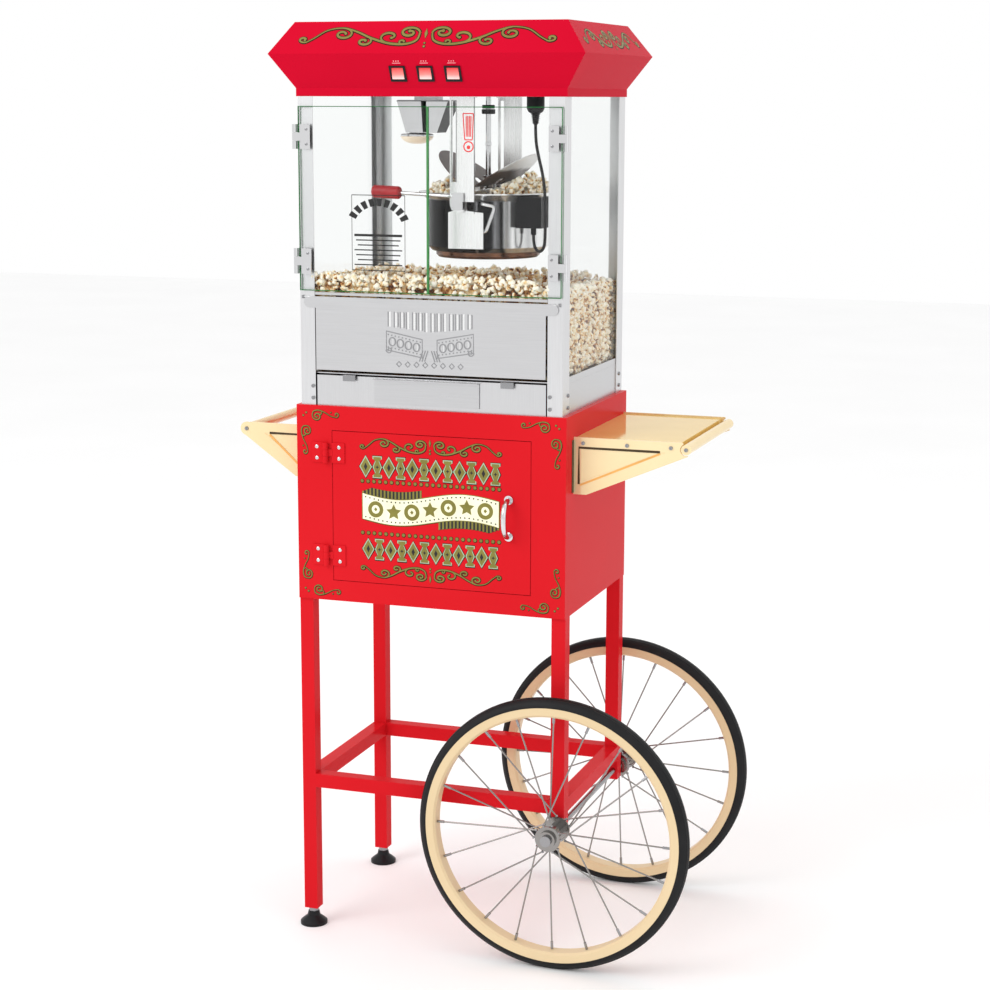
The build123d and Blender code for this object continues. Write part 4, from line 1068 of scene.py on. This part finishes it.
def emblem_row(art, centre, half_row, v, height, count):
    """A show-bill row of alternating generic emblems, each outlined in cream and black."""
    pitch = 2 * half_row / count
    half = height / 2
    for k in range(count):
        u = centre - half_row + pitch * (k + 0.5)
        if k % 2 == 0:
            art.lozenge(u, v, pitch * 0.54, half * 1.02, "edge", 1.5)
            art.lozenge(u, v, pitch * 0.45, half * 0.85, "gold")
            art.lozenge(u, v, pitch * 0.15, half * 0.36, "black")
            continue
        wide, neck = pitch * 0.40, pitch * 0.17
        right = [(wide, -1.0), (wide, -0.76), (neck, -0.58), (wide, 0.0), (neck, 0.58), (wide, 0.76),
                 (wide, 1.0)]
        outline = [(u + p, v + half * q) for p, q in right] + [(u - p, v + half * q) for p, q in right[::-1]]
        art.polygon(outline, "edge", 1.5)
        art.polygon([(u + (p - u) * 0.80, v + (q - v) * 0.92) for p, q in outline], "gold")
        art.star(u, v, neck, "black", 0.0, 4, 0.4)


BANNER_HALF, BANNER_V, BANNER_HEIGHT = 121.0, 757.0, 22.0


def wave(u):
    """Height of the banner's middle line."""
    return BANNER_V - 8.0 * math.sin(math.pi * (u + BANNER_HALF) / BANNER_HALF)


def banner(art, centre):
    """A waving ribbon with dotted edges, folded striped tails, and plain roundels and stars on it."""
    steps = 40
    top = [(centre + u, wave(u) + BANNER_HEIGHT) for u in np.linspace(-BANNER_HALF, BANNER_HALF, steps)]
    low = [(u, v - 2 * BANNER_HEIGHT) for u, v in top]
    for (ua, va), (ub, vb), (_, vc), (_, vd) in zip(top, top[1:], low[1:], low):
        art.polygon([(ua, vd), (ub, vc), (ub, vb), (ua, va)], "cream")
    art.stroke(top + low[::-1], 1.3, "gold", 0.4, closed=True)
    for u in np.linspace(6 - BANNER_HALF, BANNER_HALF - 6, 31):
        for sign in (-1, 1):
            art.disc(centre + u, wave(u) + sign * (BANNER_HEIGHT - 5.0), 1.35, "black", sides=8)
    for k, u in enumerate(np.linspace(-97, 97, 7)):
        if k % 2 == 0:
            art.stroke(ellipse(centre + u, wave(u), 10.4, 10.6, 32), 6.6, "gold", 1.1, closed=True)
            art.lozenge(centre + u, wave(u), 3.0, 3.6, "gold", 0.6)
        else:
            art.star(centre + u, wave(u), 14.0, "gold", 1.2, 5, 0.50)
    stripes = 33
    for sign in (-1, 1):
        start, end = sign * BANNER_HALF, sign * 15
        for k in range(stripes):
            ua, ub = (start + (end - start) * t / stripes for t in (k, k + 1))
            lift = 12.5 * min(1.0, 0.25 + 5 * k / stripes)
            va, vb = (wave(u) - sign * (BANNER_HEIGHT + 0.7) for u in (ua, ub))
            points = [(centre + ua, va), (centre + ub, vb), (centre + ub, vb - sign * lift),
                      (centre + ua, va - sign * lift)]
            art.polygon(points, *(("black", 0.0) if k % 2 else ("gold", 0.4)))


def door_art():
    """Two rows of emblems, two rows of studs and the banner, between scrolls at top and bottom."""
    centre = 2.0
    art = Art((0, node_box("cabinet_door")[0].y / MM, 0), edge=1.1)
    for v in (799.5, 711.5):
        for u in np.linspace(centre - 121, centre + 121, 24):
            art.disc(u, v, 2.9, "gold", 1.0)
            art.disc(u - 0.6, v + 0.6, 1.0, "cream", sides=8)
    emblem_row(art, centre, 125, 824, 37, 12)
    emblem_row(art, centre, 121, 684, 36, 12)
    banner(art, centre)
    ends = ((849, 1), (660, -1))
    art.mirror_about = centre
    for foot, reach in ends:
        garland(art, (centre - 3, foot), (-1.2, 0), (0, 0.86 * reach), 2.5)
    art.mirror_about = None
    for foot, reach in ends:
        art.disc(centre, foot + 3 * reach, 1.7, "gold", 0.7)
        art.disc(centre, foot + 8 * reach, 1.3, "gold", 0.7)
        art.lozenge(centre, foot + 20 * reach, 1.8, 6.5, "gold", 0.7)
    art.finish("door_art", "cabinet_door")


def corner_art():
    """Two tendrils and two dots in each corner of the cabinet's front."""
    art = Art((0, FRONT_LOW.y / MM, 0), mirror_about=0.0, edge=0.8)
    for edge, up in ((915, 1), (598, -1)):
        corner_tendril(art, (-223, edge), (1.1, 0), (0, -up), 1.8)
        corner_tendril(art, (-229, edge - up * 13), (0, -1.1 * up), (1, 0), 1.8)
        for du, dv in ((4.0, 10.0), (9.5, 5.0)):
            art.disc(-229 + du, edge - up * dv, 1.6, "gold", 0.6)
    art.finish("cabinet_corner_art", "cart")


def canopy_art():
    """Scrolls on the canopy's upper slopes and small pale marks above the switches."""
    low_z, ridge_z, top_z = 1444.0, 1498.6, 1549.7
    front_low, front_ridge = -172.5, -200.25
    for name, foot, back, run, stretch in (("front", (0, front_ridge), (0, 27.75), (1, 0), 2.12),
                                           ("side", (269.5, 0), (-37.0, 0), (0, 1), 1.52)):
        rise = Vector((*back, top_z - ridge_z)).normalized()
        art = Art((*foot, ridge_z), (*run, 0), rise, mirror_about=0.0, edge=1.5)
        garland(art, (3, 12), (stretch, 0), (0, 1.25), 3.9)
        art.mirror_about = None
        art.disc(0, 12, 2.0, "gold", 0.9)
        art.disc(0, 18, 1.6, "gold", 0.9)
        art.lozenge(0, 35, 2.6, 9.0, "gold", 0.9)
        art.finish(f"canopy_{name}_art", "cart", "red_canopy")
    lean = Vector((0, front_ridge - front_low, ridge_z - low_z)).normalized()
    marks = Art((0, front_low, low_z), (1, 0, 0), lean)
    for x in (-48, -1, 46):
        for k in range(3):
            marks.disc(x - 4 + 4 * k, 47.5, 0.9, sides=8)
        marks.stroke([(x - 7, 44), (x + 7, 44)], 0.8)
    marks.finish("switch_marks", "cart", "red_canopy", gold=(PALE_MARK, 0.12))


def flap_emboss():
    """Raised show-bill work on the flap, in darker steel as painted shade: a row of bars and boxes, two
    ribbons and a row of diamonds, with pale lines beside them as painted highlights.
    """
    art = Art((0, FLAP_FRONT, 0), edge=0.0)
    centre, half = 1.5, 75.0
    bars, bar_top = 14, 1084
    # Pale lines beside the raised work: painted highlights.
    light = []
    for k in range(bars):
        u = centre - half + (2 * half) * (k + 0.5) / bars
        arch = 1052 + 8 * abs(u - centre) / half
        art.stroke([(u - 2.6, arch), (u - 2.6, bar_top)], 2.2)
        light.append(([(u + 0.3, arch), (u + 0.3, bar_top)], 3.4))
        if k % 3:
            box = [(u - 2.6, bar_top - 1), (u + 4.0, bar_top - 1), (u + 4.0, arch + 1), (u - 2.6, arch + 1)]
            art.stroke(box, 1.5, closed=True)
    for sign in (-1, 1):
        inner, outer = centre + sign * 13, centre + sign * (half + 1)
        art.stroke([(inner, 1010), (outer, 1021), (outer, 1052), (inner, 1040)], 1.9, closed=True)
        for k in range(10):
            t = (k + 0.5) / 10
            u = inner + (outer - inner) * t
            art.disc(u, 1015 + 11 * t, 1.2, sides=8)
            art.disc(u, 1035 + 12 * t, 1.2, sides=8)
        for k in range(4):
            t = 0.16 + 0.225 * k
            u, v = inner + (outer - inner) * t, 1025 + 11.5 * t
            art.stroke(ellipse(u, v, 5.6, 6.8, 18), 2.0, closed=True)
            light.append(([(u + 1.6, v - 6), (u + 1.6, v + 6)], 1.2))
        Pen(art, (centre, 1012), (sign, 0), (0, 1), 2.0).spiral(half + 2, 9, -90, 6.0, 1.1, -1)
        for k in range(3):
            u = centre + sign * (3 + 4.4 * k)
            art.stroke([(u, 1022), (u + sign * 6, 1004)], 1.6)
    for k in range(8):
        art.stroke(ellipse(centre - 54 + 15.4 * k, 998, 4.4, 4.5, 4), 1.7, closed=True)
    for line, width in light:
        art.stroke(line, width, "cream")
    # The raised work's darker steel is painted shade; the pale layer in bright steel is painted highlight.
    art.finish("flap_emboss", "dump_flap", "stainless", gold=(EMBOSS, 0.7), cream=(STEEL_BRIGHT, 0.5))


def bracket_folds():
    """The pressed triangle's edges on each bracket: two in shadow and one that catches the light."""
    foot = BRACKET_FOOT_Z + 15
    for name, side, bar_x, top in (("shelf", 1, SHELF_BAR_X, 869.4), ("push_bar", -1, PUSH_BAR_X, 864.4)):
        near, far = side * (WALL_X + 9), bar_x - side * 43
        for end, face_y, facing in (("front", SHELF_FRONT, 1), ("rear", SHELF_REAR, -1)):
            art = Art((0, face_y, 0), (facing, 0, 0))
            shade = [(near, foot + 2), (near, top), (far, top)]
            lit = [(far, top - 3), (near + side * 2, foot + 0.5)]
            art.stroke([(x * facing, z) for x, z in shade], 4.0, "dark")
            art.stroke([(x * facing, z) for x, z in lit], 3.4, "gold")
            art.finish(f"bracket_{name}_{end}_fold", "cart", "pale_gold", dark=(FOLD_DARK, 0.12),
                       gold=(FOLD_AMBER, 0.10))
    # Painted shadow: a dark line on the wall flange, which falls in shade.
    strips("bracket_wall_flange_painted_shadow", FOLD_DARK, "cart", "pale_gold",
           [((WALL_X, SHELF_FRONT - 10, BRACKET_FOOT_Z + 3), (WALL_X + 0.6, SHELF_FRONT - 0.2, BAR_Z + 7))])


def glass_marks():
    """A plain fan and ruled lines on the left door, in a drawn frame."""
    art = Art((0, PANE_FRONT, 0))
    centre_u, centre_v = -86, 1216
    for k in range(9):
        a0 = math.pi * (0.12 + 0.76 * k / 9)
        a1 = a0 + math.pi * 0.055
        art.polygon([(centre_u + r * math.cos(a), centre_v + r * math.sin(a) * 0.9)
                     for r, a in ((44, a1), (58, a1), (58, a0), (44, a0))], "black")
    for k in range(7):
        half, v = 42 - 3 * (k % 3), 1208 - 8 * k
        art.stroke([(centre_u - half, v), (centre_u + half, v)], 2.0 if k else 4.0, "black")
    u0, u1, v0, v1 = -132, -39, 1151, 1273
    for v in (v0, v1):
        art.stroke([(u0, v), (u1, v)], 1.3, "black")
    for u in (u0, u1):
        art.stroke([(u, v0), (u, v1)], 1.0, "black")
    art.finish("glass_door_marks", "glass_door_left", "black_plastic", black=(BLACK_MARK, 0.06))


def hanger_label():
    """A tapered box of ruled lines over a ring with a dot."""
    label = Art((0, HANGER_FRONT, 0))
    box = [(40, 1404), (58, 1404), (56, 1362), (43, 1362)]
    for line in zip(box, box[1:] + box[:1]):
        label.stroke(line, 1.8, "black")
    for k in range(4):
        label.stroke([(45.5 + 2.8 * k, 1400), (45.8 + 2.4 * k, 1367)], [2.0, 1.6], "black")
    label.stroke(ellipse(49.5, 1351, 8, 8, 24), 2.1, "black", closed=True)
    label.disc(49.5, 1350, 3.2, "black")
    label.finish("hanger_label", "cart", "stainless", black=(RED_MARK, 0.08))


# ---- small hardware ----------------------------------------------------------------------------
EDGE_LINE, EDGE_PROUD = 0.9, 0.35
SEAM_NEAR, SEAM_FAR = 0.15, 1.15
SIDES = ((1, "right"), (-1, "left"))
CABINET_HINGE_SPANS = ((651, 686), (827, 861))
GLASS_HINGE_SPANS = ((1142, 1184), (1346, 1386))


def screw(build, centre, direction, r, h):
    """A domed screw head with a dished recess."""
    build.lathe(centre, direction, [(0, 0), (r, 0), (r, h * 0.35), (r * 0.8, h * 0.75), (r * 0.45, h * 0.95),
                                    (r * 0.36, h * 0.55), (0, h * 0.5)], 18)


def screw_heights(spans, inset):
    """Two heights in each hinge's span, one from either end."""
    return [z for low, high in spans for z in (low + inset, high - inset)]


def hinge_screws():
    """Screw heads on the cabinet hinges, the glass door hinges and their frames."""
    for x, name, body in ((-200, "cabinet_hinge", "cart"), (-160, "cabinet_door_hinge", "cabinet_door")):
        build = Build()
        for z in screw_heights(CABINET_HINGE_SPANS, 7.5):
            screw(build, (x, -180.5, z), (0, -1, 0), 3.1, 1.2)
        build.finish(f"{name}_screws", CHROME, body, "zinc")
    frame_screws = Build()
    for side, name in SIDES:
        door = Build()
        for z in screw_heights(GLASS_HINGE_SPANS, 8):
            screw(door, (side * 211, -182.5, z), (0, -1, 0), 2.6, 0.9)
            screw(frame_screws, (side * 230.5, -162, z), (side, 0, 0), 2.6, 1.2)
        door.finish(f"glass_door_{name}_screws", ZINC, f"glass_door_{name}", "zinc")
    frame_screws.finish("glass_frame_screws", ZINC, "cart", "zinc")


def pane_edges():
    """The green ground edges round the door panes."""
    y0, y1, z0, z1 = PANE_FRONT, PANE_BACK, PANE_LOW, PANE_HIGH
    for side, name in SIDES:
        x0, x1 = sorted((side * PANE_MIDDLE, side * PANE_EDGE))
        strips(f"glass_door_{name}_edges", EDGE, f"glass_door_{name}", "clear_glass",
               [((x0 - EDGE_PROUD, y0, z0), (x0, y1, z1)), ((x1, y0, z0), (x1 + EDGE_PROUD, y1, z1)),
                ((x0, y0, z0 - EDGE_PROUD), (x1, y1, z0 + EDGE_LINE)),
                ((x0, y0, z1 - EDGE_LINE), (x1, y1, z1 + EDGE_PROUD))])


def pane_seams():
    """The ground edges where the two door panes meet, seen end on."""
    for side, name in SIDES:
        x0, x1 = sorted((side * SEAM_NEAR, side * SEAM_FAR))
        strips(f"glass_door_{name}_seam", SEAM, f"glass_door_{name}", "clear_glass",
               [((x0, PANE_FRONT, PANE_LOW), (x1, PANE_BACK, PANE_HIGH))])


SPOKES, SPOKE_LEAN = 20, 35
HUB_R, RIM_R = 22.7, 201.9
CROWN_R, CROWN_CENTRE = 15.04, 217.76


def wheel_point(radius, angle, y):
    return Vector((WHEEL_X + radius * math.cos(angle), y, AXLE_Z + radius * math.sin(angle)))


def wheel_details():
    """Nipples at the rim and heads at the hub for every crossed spoke, and the tread's ribs."""
    for name, side in (("front", -1), ("rear", 1)):
        body, middle = f"wheel_{name}", side * WHEEL_Y
        nipples = Build()
        for index in range(SPOKES):
            sign = 1 if index % 2 else -1
            hand = -1 if (index // 2) % 2 else 1
            outer = TAU * index / SPOKES
            inner = outer + math.radians(hand * SPOKE_LEAN)
            hub = wheel_point(HUB_R, inner, middle + sign * (26.5 + hand * 1.6))
            rim = wheel_point(RIM_R, outer, middle + sign * 3.0)
            along = (rim - hub).normalized()
            nipples.rod(rim - along * 13, rim - along * 0.3, 2.3, 10)
            nipples.rod(hub - along * 0.5, hub + along * 2.0, 2.4, 10)
        nipples.finish(f"{body}_nipples", ZINC, body, "zinc")
        tread = Build()
        for offset, proud in ((-7.5, 0.5), (-2.5, 0.15), (2.5, 0.15), (7.5, 0.5)):
            top = CROWN_CENTRE + math.sqrt(CROWN_R ** 2 - offset ** 2) + proud
            foot = top - 1.4
            tread.lathe((WHEEL_X, middle + offset, AXLE_Z), (0, 1, 0),
                        [(foot, -0.9), (top, -0.6), (top, 0.6), (foot, 0.9), (foot, -0.9)], 160)
        tread.finish(f"{body}_tread_ribs", TYRE, body, "tyre_black")


def painted_gap_shade():
    """Painted shade in dark lines: at the folded edges beside the flap, round the front hanger's slot and
    along the hanger's right edge.
    """
    strips("flap_gap_shadow", PAINTED_SHADE, "cart", "stainless",
           [((x, -171.8, 986), (x + 3.0, -171.3, 1088)) for x in (-203.6, 200.6)])
    edge = (node_box("kettle_hangers")[1].x - CART_X) / MM
    x0, x1, z0, z1, line = 21.0, 28.1, 1293.4, 1424.6, 0.8
    y0, y1 = HANGER_FRONT - 0.2, HANGER_FRONT
    # Painted shade round the slot and along the hanger's right edge.
    strips("hanger_slot_painted_shade", PAINTED_SHADE, "cart", "stainless",
           [((x0 - line, y0, z0), (x0, y1, z1)), ((x1, y0, z0), (x1 + line, y1, z1)),
            ((x0 - line, y0, z1), (x1 + line, y1, z1 + line)), ((edge - 1.0, y0, 1243), (edge, y1, 1430))])


door_art()
corner_art()
canopy_art()
flap_emboss()
bracket_folds()
glass_marks()
hanger_label()
hinge_screws()
pane_edges()
wheel_details()
painted_gap_shade()
pane_seams()
